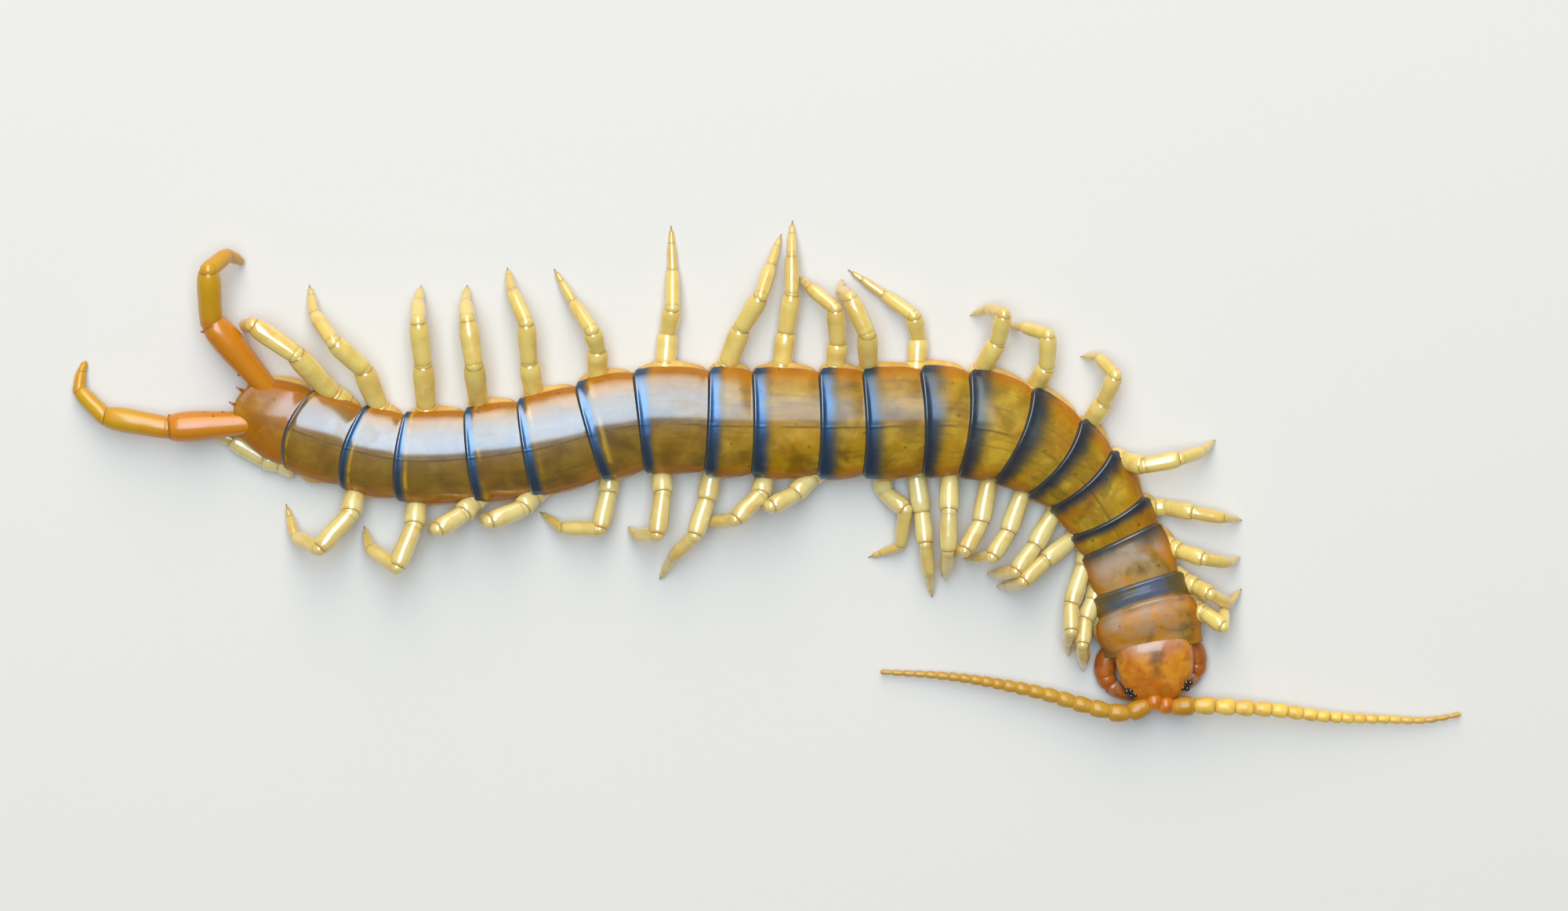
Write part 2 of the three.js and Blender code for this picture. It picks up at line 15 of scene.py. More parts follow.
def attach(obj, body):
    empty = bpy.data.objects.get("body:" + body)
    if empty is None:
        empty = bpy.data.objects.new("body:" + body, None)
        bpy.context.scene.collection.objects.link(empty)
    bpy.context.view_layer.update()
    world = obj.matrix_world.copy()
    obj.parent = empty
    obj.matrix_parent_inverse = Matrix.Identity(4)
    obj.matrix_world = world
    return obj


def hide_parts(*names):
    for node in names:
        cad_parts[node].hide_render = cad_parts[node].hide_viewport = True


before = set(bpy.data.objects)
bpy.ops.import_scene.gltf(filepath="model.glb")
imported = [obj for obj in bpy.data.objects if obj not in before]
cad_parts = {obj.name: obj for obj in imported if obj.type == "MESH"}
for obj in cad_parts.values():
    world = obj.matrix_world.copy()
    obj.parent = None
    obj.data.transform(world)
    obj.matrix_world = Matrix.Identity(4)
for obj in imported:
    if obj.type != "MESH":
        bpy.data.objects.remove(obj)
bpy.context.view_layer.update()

bl_info = {
    "name": "Giant centipede",
    "version": (1, 0, 0),
    "blender": (4, 5, 0),
    "location": "View3D > Sidebar > Centipede",
    "description": "Builds the shell plates, skin, legs, head and feelers of a giant centipede",
    "category": "Add Mesh",
}

MM = 0.001

# Body: the same driving sizes as the solids
SEGMENTS = 21
HEAD_LENGTH = 7.9
HEAD_TURN = -5
BACK_PLATE_LENGTHS = [
    4.0, 2.8, 5.5, 3.1, 5.35, 4.1, 5.4, 5.9, 4.9, 6.7, 5.1,
    7.6, 5.2, 7.8, 5.9, 7.6, 6.4, 8.0, 5.7, 6.5, 6.1,
]
BACK_PLATE_WIDTHS = [
    (0.5, 11.9), (1, 11.9), (2, 10.5), (3.5, 9.6), (5, 9.8), (6, 10.5), (7, 11.4), (8, 12.2),
    (9.5, 12.6), (13, 12.4), (17, 11.0), (19, 9.9), (21, 9.5),
]
TAIL_WIDTH = 6.6
HEIGHT_PER_WIDTH = 0.54
PLATE_STEP = 0.35
NECK_DROP = 0.9
BODY_LINE = [
    (45.1, -26.6), (43.95, -18.7), (40.25, -7.3), (35.5, 0.05), (27.8, 5.1), (20.4, 6.5),
    (10.5, 6.3), (-2.3, 6.4), (-15.2, 6.5), (-28.4, 3.4), (-42.8, 2.4), (-54.4, 5.7), (-59.9, 8.3),
]
LINE_LEAD = 12.0

# How the plates lie over one another: (place along the plate, share of the width or of the step)
PLATE_WIDE = [(0.0, 0.95), (0.16, 0.99), (0.55, 1.02), (0.86, 1.02), (1.0, 0.98)]
PLATE_DROP = [(0.0, 0.86), (0.1, 0.74), (0.5, 0.3), (0.86, 0.06), (1.0, 0.0)]
PLATE_TUCK = 0.7
FIRST_TUCK = 1.5
PLATE_FOLD = 98
ARCH_POWER = 0.93
MARGIN_UP = 0.58
# How far a plate is domed along its length, by segment, and how its rear edge rolls down
CROWN = [(1, 0.25), (2, 0.2), (3, 0.12), (4, 0.06), (21, 0.06)]
ROLL_LENGTH = 0.35
ROLL_DROP = 0.25
# Rows of points close to the rear edge, the ridge along the side margins, and where the corners begin
NEAR_REAR = [0.85, 0.6, 0.45, 0.35, 0.28, 0.21, 0.15, 0.1, 0.05, 0.0]
BEAD_HEIGHT = 0.08
BEAD_ANGLE = 88
CORNER_ANGLE = 62

# How far the middle of each rear edge lies behind its corners, by segment
REAR_BOW = [
    (1, 1.0), (2, 0.3), (3, 0.2), (4, -0.4), (6, -0.9), (9, -0.5), (13, -0.2), (17, 0.2), (20, 1.2),
    (21, 1.5),
]
# Dark rear bands: solid width, soft width ahead of it, and strength, by segment
BAND_WIDTH = [
    (1, 0.1), (2, 2.4), (3, 0.5), (4, 0.9), (7, 1.3), (11, 1.3), (16, 1.05), (19, 0.8), (20, 0.3), (21, 0),
]
BAND_FADE = [
    (1, 1.2), (2, 0.8), (3, 2.2), (4, 0.9), (5, 1.4), (8, 1.8), (12, 1.2), (15, 0.6), (18, 0.4), (21, 0.2),
]
BAND_STRENGTH = [(1, 0.2), (2, 0.85), (3, 0.8), (4, 0.84), (8, 0.88), (10, 1), (19, 1), (20, 0.9), (21, 0)]
# Gloss of the shell ahead of the bands, by segment
SHEEN = [
    (1, 0.06), (4, 0.12), (8, 0.16), (10, 0.22), (12, 0.25),
    (13, 0.4), (14, 0.66), (16, 0.85), (20, 0.9), (21, 0.5),
]

# Half outline of the soft body, from the middle of the back to the middle of the belly
SKIN_SECTION = [
    (0, 0.89), (0.34, 0.875), (0.62, 0.81), (0.8, 0.69), (0.89, 0.58), (0.95, 0.49),
    (1.0, 0.39), (0.99, 0.25), (0.9, 0.12), (0.72, 0.045), (0.4, 0.03), (0, 0.03),
]
SKIN_ROUND = 96
SKIN_RINGS_EACH = 20
# Swelling of the flank in each segment, its sink between them, the bulge round a leg root, and the pinch
# where two segments meet
FLANK_LOBE = 0.8
FLANK_SINK = 0.3
ROOT_BULGE = 0.4
SKIN_PINCH = 0.3
SKIN_ENDS = (1.2, 1.6)
BELLY_WIDE = 0.62
BELLY_THICKNESS = 0.3

# Walking legs: the same driving sizes as the solids
LEG_ROOT_OUT = 0.85
LEG_ROOT_HEIGHT = 0.31
LEG_SIZES = (0.72, 1.12)
LEG_STOUTNESS = (0.8, 1.0)
FEMUR_LENGTH = 4.9
TIBIA_LENGTH = 4.5
TARSUS_LENGTH = 4.9
LEG_RADII = [1.15, 1.0, 0.81, 0.55, 0.36]
# How much fuller the dressed legs are at each joint than those radii
LEG_FULLNESS = (1.14, 1.17, 1.13, 1.06, 1.0)
HIGHEST_KNEE = 6.0
LOWEST_KNEE = 1.2
LOWEST_FEMUR_END = 3.0
KNEE_DROP = 1.6
ANKLE_HEIGHTS = (1.0, 2.8)
FLANK_OUT = 1.0
CLAW_LENGTH = 0.6
# Share of its segment's length at which a leg leaves the body, then the bearing and the reach of its
# prefemur, femur, tibia and foot. A last number holds a leg down to a height.
LEFT_LEGS = [
    [0.51, 351, 1.7, 328, 2.4, 84, 1.4, 78, 0.7],
    [0.65, 338, 2.5, 337, 1.7, 326, 2.7, 39, 2.2],
    [0.51, 342, 2.1, 346, 2.8, 346, 3.0, 8, 1.6],
    [0.48, 2, 2.3, 353, 3.3, 349, 3.6, 343, 2.4],
    [0.81, 354, 3.4, 11, 4.2, 11, 2.8, 30, 1.9],
    [0.68, 60, 4.0, 70, 3.5, 136, 2.5, 189, 2.1],
    [0.95, 61, 3.8, 89, 3.9, 168, 2.9, 196, 1.6],
    [0.81, 63, 5.0, 79, 3.4, 173, 1.7, 209, 2.4],
    [1.04, 86, 3.9, 101, 2.9, 147, 4.1, 146, 5.0],
    [0.84, 93, 5.3, 115, 4.6, 164, 1.1, 81, 1.1],
    [0.61, 84, 3.9, 94, 4.2, 143, 3.8, 144, 1.4],
    [0.56, 82, 5.0, 82, 4.6, 90, 4.4, 89, 3.8],
    [0.64, 70, 5.9, 60, 4.5, 70, 3.4, 70, 3.6],
    [0.59, 85, 4.6, 80, 3.2, 90, 4.1, 92, 5.1],
    [0.6, 88, 4.2, 104, 2.5, 128, 3.6, 122, 4.3],
    [0.67, 97, 4.9, 93, 4.7, 117, 3.8, 105, 2.5],
    [0.7, 94, 6.0, 98, 5.2, 103, 1.6, 87, 1.8],
    [0.59, 92, 6.6, 95, 5.1, 96, 1.8, 81, 1.7],
    [0.5, 109, 6.0, 134, 4.7, 131, 3.7, 103, 3.2],
    [0.37, 128, 8.1, 145, 5.9, 201, 1.2, 253, 1.2],
]
RIGHT_LEGS = [
    [0.97, 221, 2.6, 259, 1.9, 265, 1.1, 277, 0.9, 1.5],
    [1.1, 245, 3.7, 262, 2.6, 277, 2.3, 270, 1.8],
    [0.9, 250, 5.8, 270, 2.8, 259, 1.9, 279, 2.2],
    [0.77, 215, 4.8, 220, 3.3, 214, 1.8, 203, 1.6],
    [0.79, 237, 5.3, 231, 3.4, 199, 2.2, 207, 1.3],
    [1.15, 248, 6.0, 234, 3.1, 201, 1.9, 200, 1.5],
    [1.15, 258, 6.2, 238, 3.4, 210, 1.6, 168, 1.0],
    [1.15, 268, 5.0, 269, 4.6, 266, 2.8, 270, 1.5],
    [1.15, 279, 5.6, 276, 3.5, 277, 3.8, 278, 3.2],
    [0.67, 273, 3.0, 323, 3.2, 263, 4.5, 203, 4.1],
    [0.89, 223, 4.2, 203, 2.9, 203, 0.7, 218, 0.6],
    [0.73, 254, 3.1, 223, 3.9, 198, 2.8, 178, 1.0],
    [0.76, 258, 4.1, 251, 4.1, 228, 3.9, 243, 3.5],
    [0.68, 274, 3.4, 262, 4.5, 196, 2.5, 150, 1.3],
    [0.76, 265, 2.7, 256, 4.2, 181, 4.4, 151, 3.1],
    [0.86, 229, 3.1, 199, 3.9, 198, 0.8, 204, 0.6],
    [0.87, 228, 2.9, 208, 3.2, 213, 0.8, 217, 0.6],
    [0.72, 264, 3.4, 247, 4.9, 154, 3.7, 110, 2.4],
    [0.68, 258, 3.2, 227, 5.2, 165, 3.1, 109, 3.7],
    [0.5, 169, 5.7, 148, 4.4, 158, 3.2, 178, 4.0, 1.3],
]
# How full an article is at its base, along it and at its end, as shares of its radius
ARTICLE_BASE = 0.9
ARTICLE_FULL = [(0, 0.0), (0.14, 0.4), (0.4, 0.85), (0.78, 1.25), (0.92, 0.8), (1, 0.0)]
JOINT_WAIST = 0.88
JOINT_OVERLAP = 0.3
JOINT_SKIN = 0.97
TIP_RADIUS = 0.14
ARTICLE_ROWS = 33
LIMB_ROUND = 24
# Collar in which a walking leg leaves the body: its ends, its fullness and its place among the articles
COLLAR_ENDS = (-1.2, 0.35)
COLLAR_FULL = (1.25, 1.15, 1.0)
COLLAR_NUMBER = -0.6

# End legs, spines and the points beside their roots
END_LEGS = {
    "left": {"root": (2.7, 1.3), "pose": [128, 10.9, 90, 6.2, 36, 2.4, 320, 1.4, 300, 0.6],
             "heights": [2.9, 4.7, 7.0, 4.2, 1.7, 0.25]},
    "right": {"root": (1.0, -2.0), "pose": [183, 10.2, 171, 7.4, 137, 4.2, 84, 2.0, 66, 1.2],
              "heights": [3.2, 4.0, 3.1, 1.9, 0.9, 0.25]},
}
END_LEG_RADII = [1.6, 1.38, 0.98, 0.68, 0.45]
END_LEG_ROOT = 0.72
END_LEG_ROUND = 32
END_LEG_SPINES = 7
SPINES_FROM = 0.36
SPINES_SPREAD = 0.6
SPINE_LENGTH = 0.5
SPINE_RADIUS = 0.26
# Root and tip of each point at the tail: behind the rear end, out to the left and up
TAIL_POINTS = [((-1.6, 0.9, 2.9), (2.1, 1.5, 4.3)), ((-1.6, -0.6, 2.9), (2.1, -0.45, 4.3))]
TAIL_POINT_RADIUS = 0.62

# Feelers
FEELER_LINES = {
    "left": [(46.3, -26.9, 3.7), (49.6, -26.7, 3.7), (54.2, -27.0, 3.4), (58.6, -27.4, 3.0),
             (64.8, -28.3, 2.4), (71.0, -28.7, 1.8), (76.0, -28.9, 1.3), (80.0, -28.3, 0.9)],
    "right": [(43.7, -26.7, 3.7), (40.7, -27.6, 3.6), (36.4, -26.8, 3.2), (32.0, -25.6, 2.7),
              (27.6, -24.7, 2.2), (23.2, -24.0, 1.7), (19.1, -23.6, 1.3), (12.8, -23.3, 0.9)],
}
FEELER_ARTICLES = 20
FEELER_ARTICLE_LENGTHS = (2.4, 1.3)
FEELER_SHORTENING = 9
FEELER_RADII = (1.06, 0.27)
FEELER_BARREL = [(0, 0.55), (0.07, 0.76), (0.3, 0.96), (0.68, 1.07), (0.88, 0.98), (0.96, 0.8), (1, 0.6)]

# Head, in its own frame: x forward from the rear edge, y to the animal's left
HEAD_WIDTH = 8.9
HEAD_TOP = 5.2
HEAD_MARGIN = 3.3
HEAD_OUTLINE = [
    (0, 0.82), (0.05, 0.93), (0.16, 0.985), (0.38, 1.0), (0.58, 0.95),
    (0.74, 0.85), (0.86, 0.7), (0.94, 0.53), (1.0, 0.3),
]
HEAD_CROWN = [(0, 0.9), (0.08, 0.98), (0.3, 1.03), (0.6, 0.98), (0.85, 0.86), (1, 0.68)]
HEAD_SHIELD_THICKNESS = 0.22
HEAD_SHIELD_FOLD = 96
HEAD_SHIELD_BACK = 0.35
CAPSULE_SINK = 0.45
CAPSULE_BOTTOM = 2.5
CAPSULE_STATIONS = [(-0.8, 0.9), (0.8, 0.94), (2.6, 0.96), (4.4, 0.93), (5.8, 0.83), (6.9, 0.66), (7.5, 0.48)]
CAPSULE_ROUND = 48
# Lip and jaws: place and radius of each
MOUTH_BALLS = [(6.9, 0, 2.5, 0.85), (5.8, 1.3, 2.3, 0.95), (5.8, -1.3, 2.3, 0.95)]
EYE_RADIUS = 0.36
EYE_PLACES = [(5.75, 3.72, 4.0), (6.4, 3.28, 3.75), (5.7, 3.25, 4.0), (6.3, 2.8, 3.75)]
FANG_PLATE_LENGTH = 4.1
FANG_PLATE_WIDTH = 9.2
FANG_PLATE_MIDDLE = 1.06
FANG_PLATE_HALF_HEIGHT = 1.03
FANG_PLATE_OUTLINE = [(-0.8, 0.9), (0.4, 0.99), (1.4, 1.0), (2.6, 0.9), (3.4, 0.72), (4.1, 0.46)]
TEETH = [-1.55, -1.1, -0.65, 0.65, 1.1, 1.55]
TOOTH_SIZE = (1.05, 0.26, 0.26)
FANG_PATH = [(0.9, 3.4), (2.2, 4.9), (3.9, 5.35), (5.4, 4.75), (6.5, 3.4), (7.0, 2.0), (6.9, 0.75)]
FANG_RADII = [1.15, 1.3, 1.25, 1.1, 0.85, 0.6, 0.12]
FANG_HEIGHT = 1.35
FANG_SHIFT = -0.5
FANG_SPLIT = 0.52
FANG_ROUND = 32
FANG_ROWS = 36

# Camera: how wide a stretch its picture takes in, what it looks at, and how far it leans to +Y
PICTURE_WIDTH = 180.0
PICTURE_MIDDLE = (1.53, 2.59, 4.0)
CAMERA_LEAN = 9.0
CAMERA_DISTANCE = 750.0
SENSOR_WIDTH = 36.0
FLOOR_REACH = 1.6

# Sky over the stage: a window of strips one after another towards +Y, dimmer and warmer higher up
SKY_STRIPS = 9
SKY_LEANS = (-4.0, 82.0)
SKY_DISTANCE = 1.1
SKY_WIDTH = 0.62
SKY_SHIFT = -0.06
SKY_BRIGHTNESS = [(-4, 9.0), (12, 8.6), (30, 7.0), (50, 5.4), (70, 3.6), (82, 2.2)]
SKY_TINTS = [(-4, (0.5, 0.73, 1.0)), (20, (0.62, 0.8, 1.0)), (45, (1.0, 0.94, 0.9)), (82, (1.0, 0.88, 0.74))]
WORLD_LIGHT = (0.27, 0.215, 0.15)

SIDES = {"left": 1, "right": -1}


def srgb(red, green, blue):
    """Linear colour from the 0 to 255 values that a picture shows"""
    shares = np.array([red, green, blue]) / 255
    linear = np.where(shares <= 0.04045, shares / 12.92, ((shares + 0.055) / 1.055) ** 2.4)
    return tuple(float(x) for x in linear)


def unit(vector):
    return vector / np.linalg.norm(vector, axis=-1, keepdims=True)


def mix(a, b, share):
    return a + (b - a) * share


def signed_power(value, power):
    return np.sign(value) * np.abs(value) ** power


def straight(pairs, at):
    """Value at a place on the straight lines through (place, value) pairs"""
    places, values = zip(*pairs)
    return np.interp(at, places, values)


def smooth(pairs, at):
    """Value at a place on a smooth curve through (place, value) pairs, level beyond its ends"""
    x, y = np.array(pairs, float).T
    slope = np.gradient(y, x)
    at = np.clip(at, x[0], x[-1])
    i = np.clip(np.searchsorted(x, at, side="right") - 1, 0, len(x) - 2)
    wide = x[i + 1] - x[i]
    t = (at - x[i]) / wide
    near = (1 + 2 * t) * (1 - t) ** 2 * y[i] + t * (1 - t) ** 2 * wide * slope[i]
    far = t * t * (3 - 2 * t) * y[i + 1] + t * t * (t - 1) * wide * slope[i + 1]
    return near + far


def hump(value, middle, spread):
    """1 at the middle, falling off smoothly over the spread"""
    return np.exp(-(((value - middle) / spread) ** 2))


def centripetal(points, steps):
    """A dense smooth line through points, by the rule that the solids' lines follow"""
    p = np.asarray(points, float)
    p = np.vstack([2 * p[0] - p[1], p, 2 * p[-1] - p[-2]])
    t = np.linspace(0, 1, steps, endpoint=False)[:, None]
    made = []
    for a, b, c, d in zip(p, p[1:], p[2:], p[3:]):
        before, between, after = (math.sqrt(np.linalg.norm(v)) for v in (b - a, c - b, d - c))
        leave = ((b - a) / before - (c - a) / (before + between) + (c - b) / between) * between
        reach = ((c - b) / between - (d - b) / (between + after) + (d - c) / after) * between
        bend, twist = 3 * (c - b) - 2 * leave - reach, 2 * (b - c) + leave + reach
        made.append(b + t * leave + t**2 * bend + t**3 * twist)
    return np.vstack([*made, p[-2]])


class Line:
    """A smooth line that is read by the distance along it"""

    def __init__(self, points, steps=60):
        self.points = centripetal(points, steps)
        steps = np.linalg.norm(np.diff(self.points, axis=0), axis=1)
        self.reached = np.concatenate([[0], np.cumsum(steps)])
        self.length = self.reached[-1]

    def at(self, distance):
        return np.stack([np.interp(distance, self.reached, axis) for axis in self.points.T], -1)

    def heading(self, distance):
        before = np.clip(distance - 0.05, 0, self.length - 0.1)
        return unit(self.at(before + 0.1) - self.at(before))


body_line = Line(BODY_LINE)
plate_starts = HEAD_LENGTH + np.concatenate([[0], np.cumsum(BACK_PLATE_LENGTHS)])
REAR_END = plate_starts[-1]


def body_point(distance, left, up):
    """Point of the body at a distance behind the front of the head, out to the left and up"""
    heading = body_line.heading(distance)
    middle = body_line.at(distance) + heading * np.maximum(distance - body_line.length, 0)
    to_left = np.array([heading[1], -heading[0]])
    return np.array([*(middle + to_left * left), up])


def body_width(segment):
    return straight(BACK_PLATE_WIDTHS, segment)


def tail_taper(segment, share, width):
    """How much narrower the last segment is towards its end"""
    last = np.asarray(segment) == SEGMENTS
    return np.where(last, mix(1, TAIL_WIDTH / width, np.clip(share, 0, 1.2) ** 2), 1.0)


def body_form(segment, share):
    """Width, taper and height of the body at a share of a segment's length"""
    width = body_width(segment + share - 0.5)
    taper = tail_taper(segment, share, width)
    return width, taper, width * HEIGHT_PER_WIDTH * mix(1, taper, 0.6)


# Meshes

class Pile:
    """Closed shells gathered into one mesh, with named values on their points"""

    def __init__(self):
        self.points, self.faces, self.marks, self.count = [], [], [], 0

    def add(self, points, faces, **marks):
        points = np.asarray(points, float).reshape(-1, 3)
        if enclosed(points, faces) < 0:
            faces = [face[::-1] for face in faces]
        self.faces += [[corner + self.count for corner in face] for face in faces]
        self.points.append(points)
        self.marks.append({name: np.broadcast_to(value, len(points)) for name, value in marks.items()})
        self.count += len(points)

    def piece(self, name, finish):
        mesh = bpy.data.meshes.new(name)
        mesh.from_pydata(np.vstack(self.points) * MM, [], self.faces)
        for mark in self.marks[0]:
            values = np.concatenate([marks[mark] for marks in self.marks]).astype(np.float32)
            mesh.attributes.new(mark, "FLOAT", "POINT").data.foreach_set("value", values)
        mesh.materials.append(finish)
        mesh.shade_smooth()
        return linked(name, mesh)


def linked(name, data):
    """A new object in the scene"""
    made = bpy.data.objects.new(name, data)
    bpy.context.scene.collection.objects.link(made)
    return made


def enclosed(points, faces):
    """Volume inside closed faces, below 0 where they point inwards"""
    volume = 0.0
    for size in (3, 4):
        picked = np.array([face for face in faces if len(face) == size])
        if len(picked):
            for k in range(1, size - 1):
                a, b, c = points[picked[:, 0]], points[picked[:, k]], points[picked[:, k + 1]]
                volume += np.einsum("ij,ij->", a, np.cross(b, c))
    return volume


def grid_faces(rows, columns, closed):
    i, j = np.meshgrid(np.arange(rows - 1), np.arange(columns - (not closed)), indexing="ij")
    first = i * columns + j
    after = i * columns + (j + 1) % columns
    return np.stack([first, after, after + columns, first + columns], -1).reshape(-1, 4).tolist()


def add_tube(pile, rings, **marks):
    """A closed tube over rings of points, with a point at the middle of each end"""
    rows, columns = rings.shape[:2]
    points = np.vstack([rings.reshape(-1, 3), rings[0].mean(0), rings[-1].mean(0)])
    faces = grid_faces(rows, columns, True)
    last = (rows - 1) * columns
    for j in range(columns):
        k = (j + 1) % columns
        faces.append([k, j, rows * columns])
        faces.append([last + j, last + k, rows * columns + 1])
    spread = {}
    for name, value in marks.items():
        value = np.broadcast_to(np.asarray(value, float), (rows, columns))
        spread[name] = np.concatenate([value.ravel(), [value[0].mean(), value[-1].mean()]])
    pile.add(points, faces, **spread)


def add_shell(pile, grid, thickness, inward, **marks):
    """A closed shell: a sheet of points, and the same sheet set in by a thickness"""
    rows, columns = grid.shape[:2]
    normal = unit(np.cross(np.gradient(grid, axis=0), np.gradient(grid, axis=1)))
    if (normal * inward).sum() > 0:
        normal = -normal
    inner = grid - normal * thickness
    points = np.vstack([grid.reshape(-1, 3), inner.reshape(-1, 3)])
    outer_faces = grid_faces(rows, columns, False)
    under = rows * columns
    faces = outer_faces + [[corner + under for corner in face[::-1]] for face in outer_faces]
    corner = np.arange(under).reshape(rows, columns)
    border = [*corner[0], *corner[1:, -1], *corner[-1, -2::-1], *corner[-2:0:-1, 0]]
    for a, b in zip(border, border[1:] + border[:1]):
        faces.append([int(b), int(a), int(a) + under, int(b) + under])
    spread = {name: np.broadcast_to(value, (rows, columns)).ravel() for name, value in marks.items()}
    pile.add(points, faces, **{name: np.tile(value, 2) for name, value in spread.items()})


def rings_along(points, radii, around, high=1.0):
    """Rings square to a line of points, carried along it without twist, and higher than wide by a share"""
    tangents = unit(np.gradient(points, axis=0))
    side = np.cross(tangents[0], (0, 0, 1))
    if np.linalg.norm(side) < 0.1:
        side = np.array([1.0, 0, 0])
    turn = np.linspace(0, 2 * np.pi, around, endpoint=False)
    rings = []
    for at, tangent, radius in zip(points, tangents, radii):
        side = unit(side - tangent * (side @ tangent))
        other = np.cross(tangent, side)
        rings.append(at + radius * (np.outer(np.cos(turn), side) + np.outer(np.sin(turn), other) * high))
    return np.array(rings)


def add_article(pile, start, end, radii, number, around=LIMB_ROUND):
    """One closed article of a limb from joint to joint, let into its neighbours at both ends.

    The radii are those at its base, at its fullest and at its end.
    """
    axis = end - start
    length = np.linalg.norm(axis)
    base, full, last = radii
    over = JOINT_OVERLAP * full / length
    t = np.linspace(0, 1, ARTICLE_ROWS)
    share = mix(t, 0.5 - 0.5 * np.cos(t * np.pi), 0.8) * (1 + 2 * over) - over
    cap = min(0.45 * full / length, 0.25)
    from_end = np.minimum(share + over, 1 + over - share)
    rounding = np.sqrt(np.clip(1 - (1 - np.clip(from_end / cap, 0, 1)) ** 2, 0.0009, 1))
    even = mix(base, last, np.clip(share, 0, 1))
    thick = (even + (full - 0.5 * (base + last)) * smooth(ARTICLE_FULL, share)) * rounding
    places = start + np.outer(share, axis)
    add_tube(pile, rings_along(places, thick, around), share=np.tile(share[:, None], around), article=number)


def add_ball(pile, middle, radius, **marks):
    turn = np.linspace(0.06, np.pi - 0.06, 11)
    places = middle + np.outer(np.cos(turn), (0, 0, radius))
    add_tube(pile, rings_along(places, radius * np.sin(turn), 16), **marks)


def unit_shape(name, share, ahead, up, radii, around=12):
    """A shape along x, a metre for each unit: how far ahead, how high and how thick it is at each share"""
    places = np.stack([ahead, 0 * ahead, up], -1) / MM
    pile = Pile()
    add_tube(pile, rings_along(places, radii / MM, around), share=np.tile(share[:, None], around))
    return pile.piece(name, None)


# Node trees, of materials and of shapes

class Term:
    """A socket of a node tree, on which +, -, *, /, ** and abs add Math nodes"""

    def __init__(self, net, socket):
        self.net, self.socket = net, socket

    def math(self, operation, *others):
        values = {0: self, **{i + 1: other for i, other in enumerate(others)}}
        return self.net.node("ShaderNodeMath", {"operation": operation}, values)

    def __add__(self, other):
        return self.math("ADD", other)

    def __mul__(self, other):
        return self.math("MULTIPLY", other)

    def __sub__(self, other):
        return self.math("SUBTRACT", other)

    def __truediv__(self, other):
        return self.math("DIVIDE", other)

    def __pow__(self, other):
        return self.math("POWER", other)

    def __rsub__(self, other):
        return self.net.node("ShaderNodeMath", {"operation": "SUBTRACT"}, {0: other, 1: self})

    def __abs__(self):
        return self.math("ABSOLUTE")

    __radd__ = __add__
    __rmul__ = __mul__


class Net:
    """A node tree under construction"""

    def __init__(self, tree):
        self.tree = tree

    def node(self, kind, settings, values, output=0):
        """A new node: its settings first, then the values or links of its sockets"""
        made = self.tree.nodes.new(kind)
        for name, value in settings.items():
            setattr(made, name, value)
        for name, value in values.items():
            if isinstance(value, Term):
                self.tree.links.new(value.socket, made.inputs[name])
            else:
                made.inputs[name].default_value = value
        return Term(self, made.outputs[output])

    def again(self, term, output):
        """Another output of the node that a term comes from"""
        return Term(self, term.socket.node.outputs[output])

    def vector(self, x, y, z):
        return self.node("ShaderNodeCombineXYZ", {}, {0: x, 1: y, 2: z})

    def parts(self, vector):
        first = self.node("ShaderNodeSeparateXYZ", {}, {0: vector})
        return first, self.again(first, 1), self.again(first, 2)

    def rise(self, value, low, high):
        """0 below low, 1 above high, and smooth between them"""
        return self.node("ShaderNodeMapRange", {"interpolation_type": "SMOOTHSTEP"},
                         {"Value": value, "From Min": low, "From Max": high})

    def fall(self, value, low, high):
        """1 below low, 0 above high, and smooth between them"""
        return 1 - self.rise(value, low, high)


class Finish(Net):
    """A procedural material. Its constants stand on the shader's own sockets."""

    def __init__(self, name, **constants):
        self.material = bpy.data.materials.new(name)
        self.material.use_nodes = True
        super().__init__(self.material.node_tree)
        self.shader = self.tree.nodes["Principled BSDF"]
        for socket, value in constants.items():
            self.shader.inputs[socket.replace("_", " ")].default_value = value
        self.place = self.node("ShaderNodeTexCoord", {}, {}, "Object")

    def mark(self, name):
        return self.node("ShaderNodeAttribute", {"attribute_name": name}, {}, "Fac")

    def noise(self, scale, detail=3.0, roughness=0.5, distortion=0.0, over=None):
        """Clouds over the places of the piece, or over another vector"""
        return self.node("ShaderNodeTexNoise", {},
                         {"Vector": over or self.place, "Scale": scale, "Detail": detail,
                          "Roughness": roughness, "Distortion": distortion})

    def cells(self, scale):
        return self.node("ShaderNodeTexVoronoi", {}, {"Vector": self.place, "Scale": scale}, "Distance")

    def blend(self, share, a, b):
        """Colour a going over to colour b"""
        first, second = [colour if isinstance(colour, Term) else (*colour, 1.0) for colour in (a, b)]
        return self.node("ShaderNodeMix", {"data_type": "RGBA"}, {0: share, 6: first, 7: second}, 2)

    def paint(self, share, colour):
        """Lays a colour over those laid before it"""
        self.colour = self.blend(share, self.colour, colour)

    def bump(self, height, distance, strength):
        return self.node("ShaderNodeBump", {},
                         {"Height": height, "Distance": distance * MM, "Strength": strength})

    def wear(self, **links):
        """Feeds the colour and all else that varies over the surface into the shader"""
        for socket, term in {"Base_Color": self.colour, **links}.items():
            self.tree.links.new(term.socket, self.shader.inputs[socket.replace("_", " ")])
        return self.material


